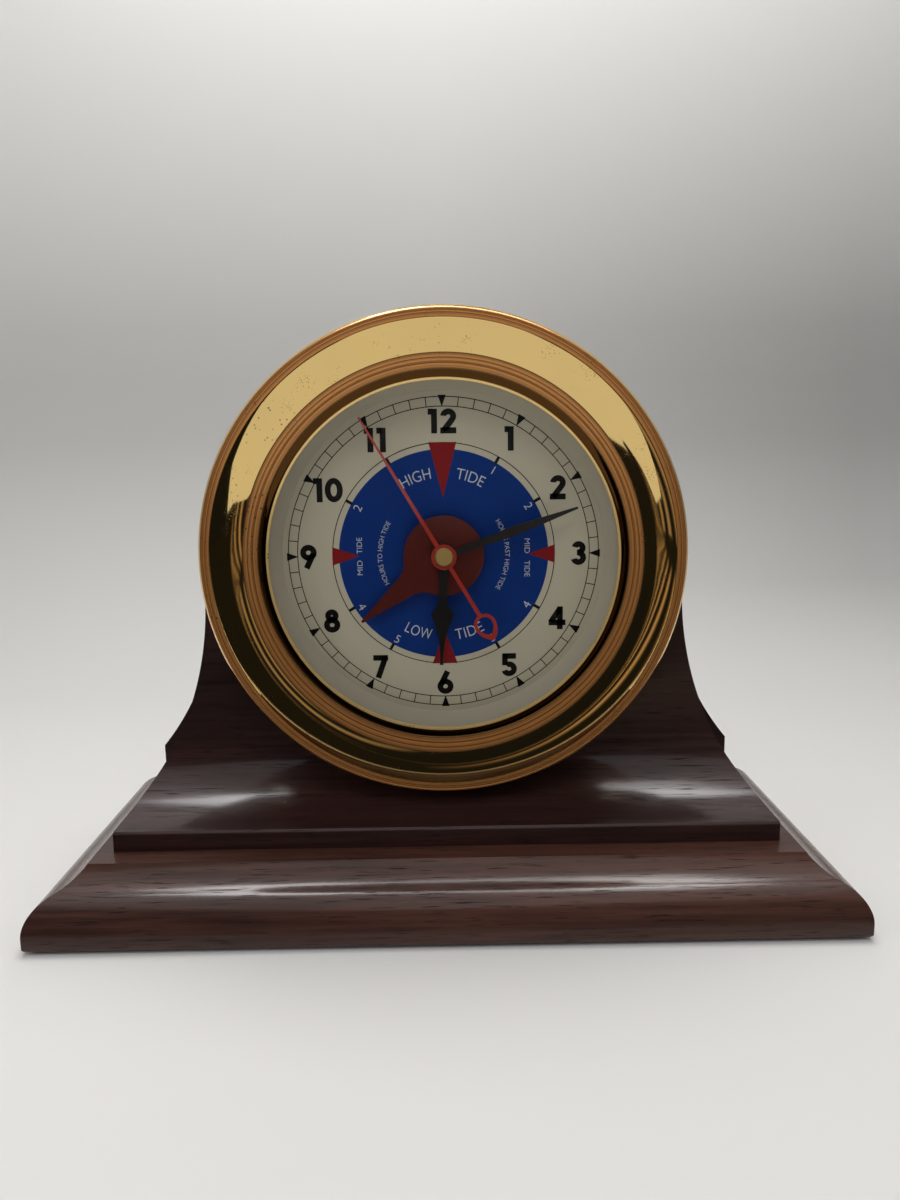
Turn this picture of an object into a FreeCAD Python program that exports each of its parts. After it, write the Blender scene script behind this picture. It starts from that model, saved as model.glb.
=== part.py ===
import FreeCAD, Part
import math
import os

import Sketcher

# Tide clock on a mantel base: a brass ship's clock case in a mahogany saddle, with a quartz
# time-and-tide movement behind its dial. Millimetres, +Z up, the dial faces -Y, and the origin
# is on the floor at the middle of the base.
#
# The pieces of the clock itself are drawn as one looks at the dial: local x to the right, y up to
# 12 o'clock and z towards the viewer, with z = 0 on the wood face that carries the case.

SIZES = {
    # plinth board and the felt below it
    "plinth_width": 258.6,
    "plinth_height": 21.0,
    "felt_thickness": 1.0,
    "felt_inset": 2.5,
    "moulding_inset": 15.6,
    "moulding_round_height": 4.2,
    "moulding_waist_inset": 7.5,
    "moulding_waist_height": 14.9,
    "moulding_hollow": 17.3,
    "arris": 0.8,
    # saddle block
    "block_width": 216.8,
    "block_setback": 24.2,
    "rear_margin": 6.4,
    "block_edge": 6.4,
    "cove_run": 29.8,
    "cove_rise": 21.1,
    "cove_sweep": 34.0,
    "saddle_thickness": 29.0,
    "axis_height": 114.4,
    "arch_drop": 12.7,
    "arch_radius": 82.0,
    # back board
    "board_thickness": 18.6,
    "board_ear_height": 16.0,
    "board_reveal": 3.3,
    "access_radius": 46.0,
    # wood screws from below
    "base_screw_radius": 2.1,
    "base_screw_head_radius": 4.0,
    "base_screw_head_height": 2.6,
    "base_screw_length": 30.0,
    "base_screw_recess": 3.0,
    "base_screw_spread": 75.0,
    "base_screw_inlay": 12.0,
    "screw_clearance": 0.1,
    # case
    "barrel_radius": 58.0,
    "barrel_wall": 2.0,
    "bore_clearance": 0.3,
    "cup_radius": 64.5,
    "cup_wall": 3.5,
    "cup_length": 12.0,
    "ledge_height": 4.2,
    "rear_wall": 3.0,
    "case_screw_circle": 52.0,
    "case_screw_radius": 2.0,
    "case_screw_head_radius": 3.6,
    "case_screw_head_height": 2.4,
    "case_screw_grip": 10.0,
    # bezel
    "rim_radius": 79.3,
    "rim_back": 12.0,
    "rim_front": 16.0,
    "rim_bevel": 0.7,
    "skirt_radius": 66.8,
    "skirt_back": 2.5,
    "skirt_front": 9.0,
    "thread_clearance": 0.05,
    "groove_inner_radius": 75.3,
    "groove_width": 0.9,
    "groove_depth": 0.5,
    "crown_foot": 17.5,
    "crown_radius": 11.2,
    "crown_inner_radius": 64.8,
    "step_height": 0.6,
    "step_radius": 62.2,
    "hollow_outer_radius": 60.0,
    "hollow_inner_radius": 57.4,
    "hollow_bend": 2.2,
    "lip_radius": 56.5,
    "lip_front": 16.9,
    "lip_rise": 0.7,
    "lip_back": 15.6,
    # crystal, its ring, reflector and dial
    "crystal_radius": 60.0,
    "crystal_thickness": 2.0,
    "crystal_clearance": 0.1,
    "ring_width": 1.8,
    "ring_thickness": 0.9,
    "ring_split": 4.0,
    "reflector_inner_radius": 54.0,
    "reflector_outer_radius": 58.2,
    "reflector_edge": 0.3,
    "seat_clearance": 0.1,
    "dial_thickness": 0.8,
    "dial_screw_circle": 58.5,
    "dial_screw_head_radius": 1.5,
    "dial_screw_radius": 0.8,
    "dial_screw_length": 4.0,
    # movement shells
    "movement_width": 60.0,
    "movement_top": 34.0,
    "movement_bottom": 30.0,
    "movement_corner": 4.0,
    "shell_wall": 1.2,
    "front_shell_depth": 9.4,
    "back_shell_depth": 9.0,
    "cushion_thickness": 0.8,
    "cushion_radius": 12.0,
    "bushing_radius": 4.0,
    "bushing_height": 3.0,
    "nut_flats": 5.5,
    "nut_thickness": 1.5,
    "washer_radius": 6.8,
    "washer_thickness": 0.4,
    "partition_place": 12.6,
    "pivot_radius": 0.45,
    "pivot_depth": 0.8,
    "running_clearance": 0.05,
    "arbor_radius": 0.7,
    # coaxial tubes, from the inside out
    "second_arbor_radius": 0.75,
    "tube_wall": 0.7,
    # wheels: centre distances, planes measured from the wood face, thickness
    "wheel_thickness": 0.8,
    "pinion_margin": 0.2,
    "ring_distance": 13.5,
    "tide_distance": 15.0,
    "rotor_distance": 9.0,
    "tide_wheel_plane": 0.9,
    "hour_wheel_back": 0.5,
    "minute_wheel_back": 2.1,
    "tide_drive_back": 3.7,
    "centre_wheel_back": 5.1,
    "third_wheel_back": 6.9,
    "second_wheel_back": 8.7,
    "fifth_wheel_back": 10.5,
    "magnet_radius": 3.1,
    "magnet_back": 12.2,
    "magnet_front": 10.8,
    # setting knobs
    "knob_radius": 5.0,
    "knob_length": 4.2,
    "knob_gap": 0.4,
    "knob_flute": 0.8,
    "knob_stem_radius": 1.2,
    # battery and contacts
    "battery_radius": 7.25,
    "battery_length": 49.5,
    "battery_nub_radius": 2.75,
    "battery_nub_height": 1.0,
    "battery_place": 21.4,
    "battery_back": 13.55,
    "contact_thickness": 0.4,
    "contact_width": 6.0,
    "contact_height": 9.0,
    "bay_margin": 1.0,
    # drive: stator, coil, circuit board, quartz can
    "stator_thickness": 1.0,
    "stator_back": 11.9,
    "stator_bore": 3.6,
    "stator_left": 19.0,
    "stator_right": 12.0,
    "stator_leg": 4.2,
    "stator_bar_bottom": 20.5,
    "stator_bar_top": 24.8,
    "stator_foot": 12.6,
    "stator_foot_right": 8.0,
    "stator_chamfer": 2.8,
    "coil_radius": 3.2,
    "coil_flange": 0.8,
    "coil_length": 20.4,
    "coil_centre": 3.0,
    "coil_height": 29.0,
    "coil_wound_radius": 2.8,
    "lug_width": 3.0,
    "circuit_width": 12.6,
    "circuit_length": 13.0,
    "circuit_thickness": 0.8,
    "circuit_margin": 1.2,
    "quartz_radius": 1.0,
    "quartz_length": 6.0,
    # hands, each plane measured from the wood face
    "hand_thickness": 0.4,
    "tide_hand_plane": 7.7,
    "hour_hand_plane": 8.9,
    "minute_hand_plane": 10.1,
    "second_hand_plane": 11.2,
    "tide_disc_radius": 13.4,
    "tide_shoulder_reach": 19.0,
    "tide_shoulder_width": 6.6,
    "tide_hand_reach": 35.5,
    "tide_tip_width": 0.8,
    "hour_boss_radius": 4.4,
    "hour_stem_width": 2.7,
    "hour_stem_reach": 13.0,
    "hour_swell_width": 8.2,
    "hour_swell_reach": 19.3,
    "hour_swell_bend": 7.0,
    "hour_taper_bend": 34.0,
    "hour_hand_reach": 36.9,
    "hour_tip_width": 1.3,
    "minute_boss_radius": 3.6,
    "minute_root_width": 1.6,
    "minute_swell_width": 3.4,
    "minute_swell_reach": 25.0,
    "minute_hand_reach": 46.8,
    "minute_tip_width": 0.7,
    "second_hub_radius": 4.2,
    "second_root_width": 1.5,
    "second_tip_width": 0.6,
    "second_hand_reach": 52.7,
    "second_tail_width": 1.3,
    "second_loop_place": 26.4,
    "second_loop_radius": 3.7,
    "second_loop_stroke": 1.1,
    "second_tail_reach": 32.5,
    "cap_radius": 3.1,
    "cap_height": 1.5,
    "cap_bevel": 0.5,
    # how far a cutting shape stands proud of what it cuts
    "overrun": 2.0,
}

# Teeth of each meshing pair, and where the arbors stand round the clock's axis
ROTOR_TEETH, FIFTH_TEETH = 6, 36
FIFTH_PINION_TEETH, SECOND_TEETH = 8, 40
SECOND_PINION_TEETH, THIRD_TEETH = 8, 60
THIRD_PINION_TEETH, CENTRE_TEETH = 8, 64
MINUTE_PINION_TEETH, MINUTE_WHEEL_TEETH = 12, 36
HOUR_PINION_TEETH, HOUR_TEETH = 10, 40
TIDE_DRIVE_PINION_TEETH, TIDE_DRIVE_TEETH = 10, 46
TIDE_PINION_TEETH, TIDE_TEETH = 10, 27
MINUTE_WHEEL_ANGLE = 180.0
FIFTH_ANGLE = 128.0
THIRD_ANGLE = 68.0
TIDE_ANGLE = 8.0
ROTOR_ANGLE = 120.0

# Tooth form, as shares of the module or of the circular pitch
ADDENDUM_SHARE = 0.8
DEDENDUM_SHARE = 1.1
TIP_GAP_SHARE = 0.8
ROOT_GAP_SHARE = 0.42

# Where the hands stand, in degrees clockwise from 12
SECOND_HAND_TURN = 329.4
MINUTE_HAND_TURN = 70.5
HOUR_HAND_TURN = 181.9
TIDE_HAND_TURN = 231.6

KNOB_FLUTES = 14
CASE_SCREW_COUNT = 4
LEFT, RIGHT = 1, -1

V = FreeCAD.Vector
FACE_UP = FreeCAD.Rotation(V(1, 0, 0), 90)


class Length:
    """A size: its value now and the expression on the sheet that gives it."""

    def __init__(self, value, text):
        self.value = value
        self.text = text

    def __add__(self, other):
        return joined(self, "+", other, self.value + value_of(other))

    def __radd__(self, other):
        return joined(other, "+", self, value_of(other) + self.value)

    def __sub__(self, other):
        return joined(self, "-", other, self.value - value_of(other))

    def __rsub__(self, other):
        return joined(other, "-", self, value_of(other) - self.value)

    def __mul__(self, other):
        return joined(self, "*", other, self.value * value_of(other))

    def __rmul__(self, other):
        return joined(other, "*", self, value_of(other) * self.value)

    def __truediv__(self, other):
        return joined(self, "/", other, self.value / value_of(other))

    def __neg__(self):
        return joined(0, "-", self, -self.value)


def value_of(item):
    """The number in a size or in a plain number."""
    return item.value if isinstance(item, Length) else item


def text_of(item):
    """The expression of a size, or a plain number as text."""
    return item.text if isinstance(item, Length) else "%.9f" % item


def joined(first, sign, second, value):
    """Two sizes and the sign between them, as one size."""
    return Length(value, "(%s %s %s)" % (text_of(first), sign, text_of(second)))


class Sheet:
    """The driving sizes, one attribute for each cell of the spreadsheet."""

    def __init__(self, doc):
        cells = doc.addObject("Spreadsheet::Sheet", "Sizes")
        for row, (name, value) in enumerate(SIZES.items(), 1):
            cells.set("A%d" % row, name)
            cells.set("B%d" % row, str(value))
            cells.setAlias("B%d" % row, name)
            setattr(self, name, Length(value, "Sizes." + name))


doc = FreeCAD.newDocument("tide_clock")
size = Sheet(doc)
doc.recompute()
NODES = []


# Drawing helpers


def plane_of(body, role):
    """One of a body's own origin planes."""
    return [item for item in body.Origin.OriginFeatures if item.Role == role][0]


def new_body(label):
    """An empty body whose label is its file's name."""
    body = doc.addObject("PartDesign::Body", label)
    NODES.append(body)
    return body


def place(body, x=0, y=0, z=0, rotation=None):
    """Put a body at a place that follows the sheet."""
    turn = rotation or FreeCAD.Rotation()
    body.Placement = FreeCAD.Placement(V(value_of(x), value_of(y), value_of(z)), turn)
    for axis, length in (("x", x), ("y", y), ("z", z)):
        if isinstance(length, Length):
            body.setExpression("Placement.Base." + axis, length.text)


def on_clock(body, x=0, y=0, turn=0.0):
    """Put a body in the clock's frame, its own axis at x, y and turned clockwise by turn."""
    rotation = FACE_UP.multiply(FreeCAD.Rotation(V(0, 0, 1), -turn))
    place(body, x, face_y, size.axis_height + y, rotation)


def new_sketch(body, role="XY_Plane", offset=0, turn=0.0):
    """An empty sketch on one of the body's planes, moved along its normal and turned in it."""
    sketch = body.newObject("Sketcher::SketchObject", "sketch")
    sketch.AttachmentSupport = (plane_of(body, role), [""])
    sketch.MapMode = "FlatFace"
    spin = FreeCAD.Rotation(V(0, 0, 1), turn)
    sketch.AttachmentOffset = FreeCAD.Placement(V(0, 0, value_of(offset)), spin)
    if isinstance(offset, Length):
        sketch.setExpression("AttachmentOffset.Base.z", offset.text)
    return sketch


def pin(constraints, texts, kind, geometry, point, length):
    """Hold one coordinate of a point at a size, or on the axis where it is zero."""
    if isinstance(length, Length):
        constraints.append(Sketcher.Constraint(kind, -1, 1, geometry, point, length.value))
        texts.append(length.text)
    else:
        axis = -2 if kind == "DistanceX" else -1
        constraints.append(Sketcher.Constraint("PointOnObject", geometry, point, axis))
        texts.append(None)


def arc_between(start, end, radius, turn):
    """The short arc from start to end that bends left or right."""
    chord = end - start
    half = chord.Length / 2
    reach = math.sqrt(max(radius * radius - half * half, 0.0))
    side = V(-chord.y, chord.x, 0).normalize() * (reach * turn)
    centre = (start + end) * 0.5 + side
    first, last = (start, end) if turn == LEFT else (end, start)
    angles = [math.atan2(point.y - centre.y, point.x - centre.x) for point in (first, last)]
    return Part.ArcOfCircle(Part.Circle(centre, V(0, 0, 1), radius), angles[0], angles[1])


def draw(sketch, corners):
    """Close a loop through corners (x, y) or (x, y, (radius, turn)), where the bend leads on
    from its corner to the next one."""
    points = [V(value_of(item[0]), value_of(item[1]), 0) for item in corners]
    bends = [item[2] if len(item) > 2 else None for item in corners]
    start = sketch.GeometryCount
    edges, constraints, texts = [], [], []
    for index, bend in enumerate(bends):
        here, there = points[index], points[(index + 1) % len(points)]
        if bend:
            edges.append(arc_between(here, there, value_of(bend[0]), bend[1]))
        else:
            edges.append(Part.LineSegment(here, there))
    sketch.addGeometry(edges, False)
    for index, (corner, bend) in enumerate(zip(corners, bends)):
        before = bends[index - 1]
        edge, last = start + index, start + (index - 1) % len(corners)
        begin = 2 if bend and bend[1] == RIGHT else 1
        finish = 1 if before and before[1] == RIGHT else 2
        constraints.append(Sketcher.Constraint("Coincident", last, finish, edge, begin))
        texts.append(None)
        pin(constraints, texts, "DistanceX", edge, begin, corner[0])
        pin(constraints, texts, "DistanceY", edge, begin, corner[1])
        if bend:
            constraints.append(Sketcher.Constraint("Radius", edge, value_of(bend[0])))
            texts.append(text_of(bend[0]))
    bind(sketch, constraints, texts)
    return sketch


def draw_circle(sketch, radius, x=0, y=0):
    """Add a circle at x, y."""
    index = sketch.addGeometry(
        Part.Circle(V(value_of(x), value_of(y), 0), V(0, 0, 1), value_of(radius)), False)
    constraints = [Sketcher.Constraint("Radius", index, value_of(radius))]
    texts = [text_of(radius)]
    pin(constraints, texts, "DistanceX", index, 3, x)
    pin(constraints, texts, "DistanceY", index, 3, y)
    bind(sketch, constraints, texts)
    return sketch


def bind(sketch, constraints, texts):
    """Add constraints and tie each size to its expression."""
    first = sketch.ConstraintCount
    sketch.addConstraint(constraints)
    for index, text in enumerate(texts):
        if text:
            sketch.setExpression("Constraints[%d]" % (first + index), text)


def both_sides(right):
    """Mirror the right side of an outline, given from the bottom up, onto its left."""
    sides = [item if len(item) > 2 else item + (None,) for item in right]
    left = []
    for index in range(len(sides) - 1, -1, -1):
        x, y, _ = sides[index]
        bend = sides[index - 1][2] if index else None
        if isinstance(x, Length):
            left.append((-x, y, bend))
        else:
            sides[index] = (x, y, bend)
    return [item for item in sides] + left


def box_corners(left, right, bottom, top):
    """The corners of a rectangle."""
    return [(left, bottom), (right, bottom), (right, top), (left, top)]


def rounded_corners(half, bottom, top, radius):
    """The outline of a rectangle about the y axis with rounded corners."""
    bend = (radius, LEFT)
    return [(-half + radius, bottom), (half - radius, bottom, bend),
            (half, bottom + radius), (half, top - radius, bend),
            (half - radius, top), (-half + radius, top, bend),
            (-half, top - radius), (-half, bottom + radius, bend)]


def pad(body, sketch, length):
    """Raise a sketch along its normal."""
    feature = body.newObject("PartDesign::Pad", "pad")
    feature.Profile = sketch
    feature.Length = value_of(length)
    feature.setExpression("Length", text_of(length))
    return feature


def pad_both_ways(body, sketch, length, second_length):
    """Raise a sketch along its normal by one length and back by another."""
    feature = pad(body, sketch, length)
    feature.SideType = "Two sides"
    feature.Length2 = value_of(second_length)
    feature.setExpression("Length2", text_of(second_length))
    return feature


def pocket(body, sketch, length):
    """Cut a sketch along its normal."""
    feature = body.newObject("PartDesign::Pocket", "pocket")
    feature.Profile = sketch
    feature.Reversed = True
    feature.Length = value_of(length)
    feature.setExpression("Length", text_of(length))
    return feature


def pocket_through(body, sketch):
    """Cut a sketch through the whole body, both ways."""
    feature = body.newObject("PartDesign::Pocket", "pocket")
    feature.Profile = sketch
    feature.Type = "ThroughAll"
    feature.SideType = "Symmetric"
    return feature


def revolve(body, corners):
    """Turn an outline of (radius, height) corners about the body's z axis."""
    sketch = draw(new_sketch(body, "XZ_Plane"), corners)
    feature = body.newObject("PartDesign::Revolution", "revolution")
    feature.Profile = sketch
    feature.ReferenceAxis = (sketch, ["V_Axis"])
    feature.Angle = 360
    return feature


def repeat(body, feature, count):
    """Repeat a feature evenly round the body's z axis."""
    doc.recompute()
    pattern = body.newObject("PartDesign::PolarPattern", "pattern")
    pattern.Originals = [feature]
    pattern.Axis = (feature.Profile[0], ["N_Axis"])
    pattern.Angle = 360
    pattern.Occurrences = count
    body.Tip = pattern
    return pattern


def disc(body, radius, bottom, top, x=0, y=0):
    """A disc on the body between two heights."""
    return pad(body, draw_circle(new_sketch(body, offset=bottom), radius, x, y), top - bottom)


def hole(body, radius, bottom, top, x=0, y=0):
    """A round hole in the body between two heights."""
    return pocket(body, draw_circle(new_sketch(body, offset=bottom), radius, x, y), top - bottom)


def plate(body, corners, bottom, top):
    """A flat piece of the given outline between two heights."""
    return pad(body, draw(new_sketch(body, offset=bottom), corners), top - bottom)


def polar(distance, angle):
    """The place at a distance and angle from the clock's axis."""
    turn = math.radians(angle)
    return distance * math.cos(turn), distance * math.sin(turn)


def tangent_radius(run, rise):
    """The radius of an arc that starts square to run and covers run and rise."""
    return (run * run + rise * rise) / (2 * run)


# Places that several pieces share

plinth_top = size.felt_thickness + size.plinth_height
plinth_depth = (size.block_setback + size.cove_run + size.saddle_thickness
                + size.board_thickness + size.rear_margin)
face_y = -plinth_depth / 2 + size.block_setback + size.cove_run
arch_height = size.axis_height - size.arch_drop
board_back = size.saddle_thickness + size.board_thickness
bore_radius = size.barrel_radius + size.bore_clearance
cup_bore = size.cup_radius - size.cup_wall
dial_front = size.ledge_height + size.dial_thickness
movement_front = size.ledge_height - size.cushion_thickness
shell_joint = movement_front - size.front_shell_depth
movement_back = shell_joint - size.back_shell_depth
train_front = movement_front - size.shell_wall
train_back = movement_back + size.shell_wall
movement_half = size.movement_width / 2
crystal_back = size.lip_back - size.crystal_thickness
minute_tube_bore = size.second_arbor_radius + size.running_clearance
minute_tube_radius = minute_tube_bore + size.tube_wall
hour_tube_bore = minute_tube_radius + size.running_clearance
hour_tube_radius = hour_tube_bore + size.tube_wall
tide_tube_bore = hour_tube_radius + size.running_clearance
tide_tube_radius = tide_tube_bore + size.tube_wall
bushing_bore = tide_tube_radius + size.running_clearance
base_screw_places = [
    (sign * size.base_screw_spread, y)
    for y in (size.base_screw_inlay, size.saddle_thickness + size.board_thickness / 2)
    for sign in (-1, 1)
]
minute_wheel_place = polar(size.ring_distance, MINUTE_WHEEL_ANGLE)
fifth_place = polar(size.ring_distance, FIFTH_ANGLE)
third_place = polar(size.ring_distance, THIRD_ANGLE)
tide_place = polar(size.tide_distance, TIDE_ANGLE)
rotor_step = polar(size.rotor_distance, ROTOR_ANGLE)
rotor_place = (fifth_place[0] + rotor_step[0], fifth_place[1] + rotor_step[1])


# The wooden base


def moulding_profile(edge, inwards):
    """The ogee from the bottom up: a round, a waist and a hollow. Edge is the outermost place
    and inwards is 1 or -1, the way to the middle of the board."""
    bottom = size.felt_thickness
    turn = LEFT * -inwards
    waist_rise = size.moulding_waist_height - size.moulding_round_height
    round_radius = tangent_radius(size.moulding_waist_inset, waist_rise)
    return [
        (edge + size.arris * inwards, bottom),
        (edge, bottom + size.arris),
        (edge, bottom + size.moulding_round_height, (round_radius, turn)),
        (edge + size.moulding_waist_inset * inwards, bottom + size.moulding_waist_height,
         (size.moulding_hollow, -turn)),
        (edge + size.moulding_inset * inwards, plinth_top),
    ]


def make_plinth():
    """Board with the ogee moulding on its ends and front, mitred where they meet."""
    body = new_body("plinth")
    ends = both_sides(moulding_profile(size.plinth_width / 2, -1))
    half_depth = plinth_depth / 2
    pad_both_ways(body, draw(new_sketch(body, "XZ_Plane"), ends), half_depth, half_depth)
    front = moulding_profile(-half_depth, 1)
    proud = size.overrun
    waste = [(front[0][0] + proud, front[0][1] - proud)] + front[1:] + [
        (front[-1][0], front[-1][1] + proud),
        (-half_depth - proud, front[-1][1] + proud),
        (-half_depth - proud, front[0][1] - proud),
    ]
    pocket_through(body, draw(new_sketch(body, "YZ_Plane"), waste))
    bottom = size.felt_thickness
    for x, y in base_screw_places:
        place_y = face_y + y
        hole(body, size.base_screw_radius + size.screw_clearance, bottom, plinth_top, x, place_y)
        hole(body, size.base_screw_head_radius + size.screw_clearance, bottom,
             bottom + size.base_screw_recess, x, place_y)
    place(body)


def make_base_felt():
    """Thin felt under the plinth, set in from its edges."""
    body = new_body("base_felt")
    half_width = size.plinth_width / 2 - size.felt_inset
    half_depth = plinth_depth / 2 - size.felt_inset
    plate(body, box_corners(-half_width, half_width, -half_depth, half_depth),
          0, size.felt_thickness)
    place(body)


def flared_outline(foot, ear_height, arch):
    """A board seen from the front: upright ears, sides that sweep in, and an arched top."""
    half = foot / 2
    ear_top = plinth_top + ear_height
    sweep = tangent_radius(half - arch, arch_height - ear_top)
    return both_sides([
        (half, plinth_top),
        (half, ear_top, (sweep, RIGHT)),
        (arch, arch_height, (arch, LEFT)),
        (0, arch_height + arch),
    ])


def make_saddle_block():
    """Thick block with swept sides and a coved front foot, bored for the case. The cove is a
    wide sweep that runs into a tighter turn up to the wood face."""
    body = new_body("saddle_block")
    outline = flared_outline(size.block_width, size.block_edge, size.arch_radius)
    pad_both_ways(body, draw(new_sketch(body, "XZ_Plane"), outline),
                  size.cove_run, size.saddle_thickness)
    edge_top = plinth_top + size.block_edge
    front = -size.cove_run
    proud = size.overrun
    top = arch_height + size.arch_radius + proud
    run, sweep = size.cove_run - size.arris, size.cove_sweep
    past = sweep - size.cove_rise
    turn = (sweep * sweep - run * run - past * past) / (2 * (sweep - run))
    share = sweep / (sweep - turn)
    waste = [
        (front, edge_top - size.arris),
        (front + size.arris, edge_top, (sweep, LEFT)),
        (front + size.arris + (run - turn) * share,
         edge_top + sweep - past * share, (turn, LEFT)),
        (0, edge_top + size.cove_rise),
        (0, top),
        (front - proud, top),
        (front - proud, edge_top - size.arris),
    ]
    pocket_through(body, draw(new_sketch(body, "YZ_Plane"), waste))
    bore = draw_circle(new_sketch(body, "XZ_Plane"), bore_radius, 0, size.axis_height)
    pocket_through(body, bore)
    for x, y in base_screw_places[:2]:
        hole(body, size.base_screw_radius, plinth_top, plinth_top + screw_reach, x, y)
    place(body, 0, face_y, 0)


def make_back_board():
    """Board behind the saddle with the round access hole and the case's four screw holes."""
    body = new_body("back_board")
    arch = size.arch_radius + size.board_reveal
    outline = flared_outline(size.block_width, size.board_ear_height, arch)
    sketch = draw(new_sketch(body, "XZ_Plane", -board_back), outline)
    pad(body, sketch, size.board_thickness)
    opening = draw_circle(new_sketch(body, "XZ_Plane"), size.access_radius, 0, size.axis_height)
    pocket_through(body, opening)
    for x, y in case_screw_places():
        pocket_through(body, draw_circle(
            new_sketch(body, "XZ_Plane"), size.case_screw_radius + size.screw_clearance,
            x, size.axis_height + y))
        pocket(body, draw_circle(
            new_sketch(body, "XZ_Plane", -board_back),
            size.case_screw_head_radius + size.screw_clearance, x, size.axis_height + y),
            size.board_thickness - size.case_screw_grip)
    for x, y in base_screw_places[2:]:
        hole(body, size.base_screw_radius, plinth_top, plinth_top + screw_reach, x, y)
    place(body, 0, face_y, 0)


def case_screw_places():
    """Where the four case screws stand round the axis."""
    step = 360.0 / CASE_SCREW_COUNT
    return [polar(size.case_screw_circle, step * (index + 0.5))
            for index in range(CASE_SCREW_COUNT)]


def screw(label, head_radius, head_height, radius, length):
    """A screw pointing along +z whose head's seat is at z = 0."""
    body = doc.addObject("PartDesign::Body", label)
    revolve(body, [(0, -head_height), (head_radius, -head_height), (head_radius, 0),
                   (radius, 0), (radius, length), (0, length)])
    return body


def group(label, bodies):
    """Several identical solids that share one node."""
    compound = doc.addObject("Part::Compound", label)
    compound.Links = bodies
    NODES.append(compound)


screw_reach = (size.base_screw_length - size.plinth_height + size.base_screw_recess
               + size.screw_clearance)


def make_base_screws():
    """Four wood screws up through the plinth, two into the saddle and two into the board."""
    bodies = []
    seat = size.felt_thickness + size.base_screw_recess
    for x, y in base_screw_places:
        item = screw("base_screw", size.base_screw_head_radius, size.base_screw_head_height,
                     size.base_screw_radius, size.base_screw_length)
        place(item, x, face_y + y, seat)
        bodies.append(item)
    group("base_screws", bodies)


# The brass case


def make_case_body():
    """Turned brass tub: a threaded cup in front of the wood, a barrel through it, and a rear
    wall with a wide opening."""
    body = new_body("case_body")
    back = -size.saddle_thickness
    revolve(body, [
        (size.access_radius, back),
        (size.barrel_radius, back),
        (size.barrel_radius, 0),
        (size.cup_radius, 0),
        (size.cup_radius, size.cup_length),
        (cup_bore, size.cup_length),
        (cup_bore, size.ledge_height),
        (size.barrel_radius - size.barrel_wall, size.ledge_height),
        (size.barrel_radius - size.barrel_wall, back + size.rear_wall),
        (size.access_radius, back + size.rear_wall),
    ])
    for x, y in case_screw_places():
        hole(body, size.case_screw_radius, back, back + size.rear_wall, x, y)
    for x in (size.dial_screw_circle, -size.dial_screw_circle):
        hole(body, size.dial_screw_radius, size.ledge_height - size.dial_screw_length,
             size.ledge_height, x, 0)
    on_clock(body)


def make_case_screws():
    """Four machine screws through the back board into the case's rear wall."""
    bodies = []
    for x, y in case_screw_places():
        item = screw("case_screw", size.case_screw_head_radius, size.case_screw_head_height,
                     size.case_screw_radius, size.case_screw_grip + size.rear_wall)
        rotation = FACE_UP
        seat = face_y + size.saddle_thickness + size.case_screw_grip
        place(item, x, seat, size.axis_height + y, rotation)
        bodies.append(item)
    group("case_screws", bodies)


def make_bezel():
    """Screw-on bezel: skirt over the cup's thread, rim, two fine grooves, a round crown, two
    steps, a hollow and the thin lip round the opening."""
    body = new_body("bezel")
    bore = size.cup_radius + size.thread_clearance
    front = size.crown_foot
    groove = size.groove_width
    outer_groove = size.groove_inner_radius + 3 * groove
    inner_groove = size.groove_inner_radius + groove
    seat_radius = size.crystal_radius + size.crystal_clearance
    revolve(body, [
        (bore, size.skirt_back),
        (size.skirt_radius, size.skirt_back),
        (size.skirt_radius, size.skirt_front),
        (size.rim_radius - size.rim_bevel, size.rim_back - size.rim_bevel),
        (size.rim_radius, size.rim_back),
        (size.rim_radius, size.rim_front),
        (size.rim_radius - size.rim_bevel, front - size.groove_depth),
        (outer_groove, front),
        (outer_groove - groove / 2, front - size.groove_depth),
        (outer_groove - groove, front),
        (inner_groove - groove / 2, front - size.groove_depth),
        (size.groove_inner_radius, front, (size.crown_radius, LEFT)),
        (size.crown_inner_radius, front),
        (size.crown_inner_radius, front - size.step_height),
        (size.step_radius, front - size.step_height),
        (size.step_radius, front - 2 * size.step_height),
        (size.hollow_outer_radius, front - 2 * size.step_height, (size.hollow_bend, RIGHT)),
        (size.hollow_inner_radius, size.lip_front - size.lip_rise),
        (size.hollow_inner_radius, size.lip_front),
        (size.lip_radius, size.lip_front),
        (size.lip_radius, size.lip_back),
        (seat_radius, size.lip_back),
        (seat_radius, crystal_back - size.ring_thickness),
        (bore, crystal_back - size.ring_thickness),
    ])
    on_clock(body)


def make_crystal():
    """Flat glass behind the lip."""
    body = new_body("crystal")
    disc(body, size.crystal_radius, crystal_back, size.lip_back)
    on_clock(body)


def make_crystal_ring():
    """Split spring ring that holds the glass in the bezel."""
    body = new_body("crystal_ring")
    outer = size.crystal_radius + size.crystal_clearance
    inner = outer - size.ring_width
    bottom = crystal_back - size.ring_thickness
    revolve(body, box_corners(inner, outer, bottom, crystal_back))
    half = size.ring_split / 2
    slot = box_corners(-half, half, -outer - size.overrun, -inner + size.overrun)
    pocket(body, draw(new_sketch(body, offset=bottom), slot), size.ring_thickness)
    on_clock(body)


def make_reflector_ring():
    """Pale sloping ring between the dial and the glass."""
    body = new_body("reflector_ring")
    outer = cup_bore - size.seat_clearance
    revolve(body, [
        (size.reflector_inner_radius, dial_front),
        (outer, dial_front),
        (outer, size.cup_length),
        (size.reflector_outer_radius, size.cup_length),
        (size.reflector_inner_radius, dial_front + size.reflector_edge),
    ])
    on_clock(body)


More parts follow.
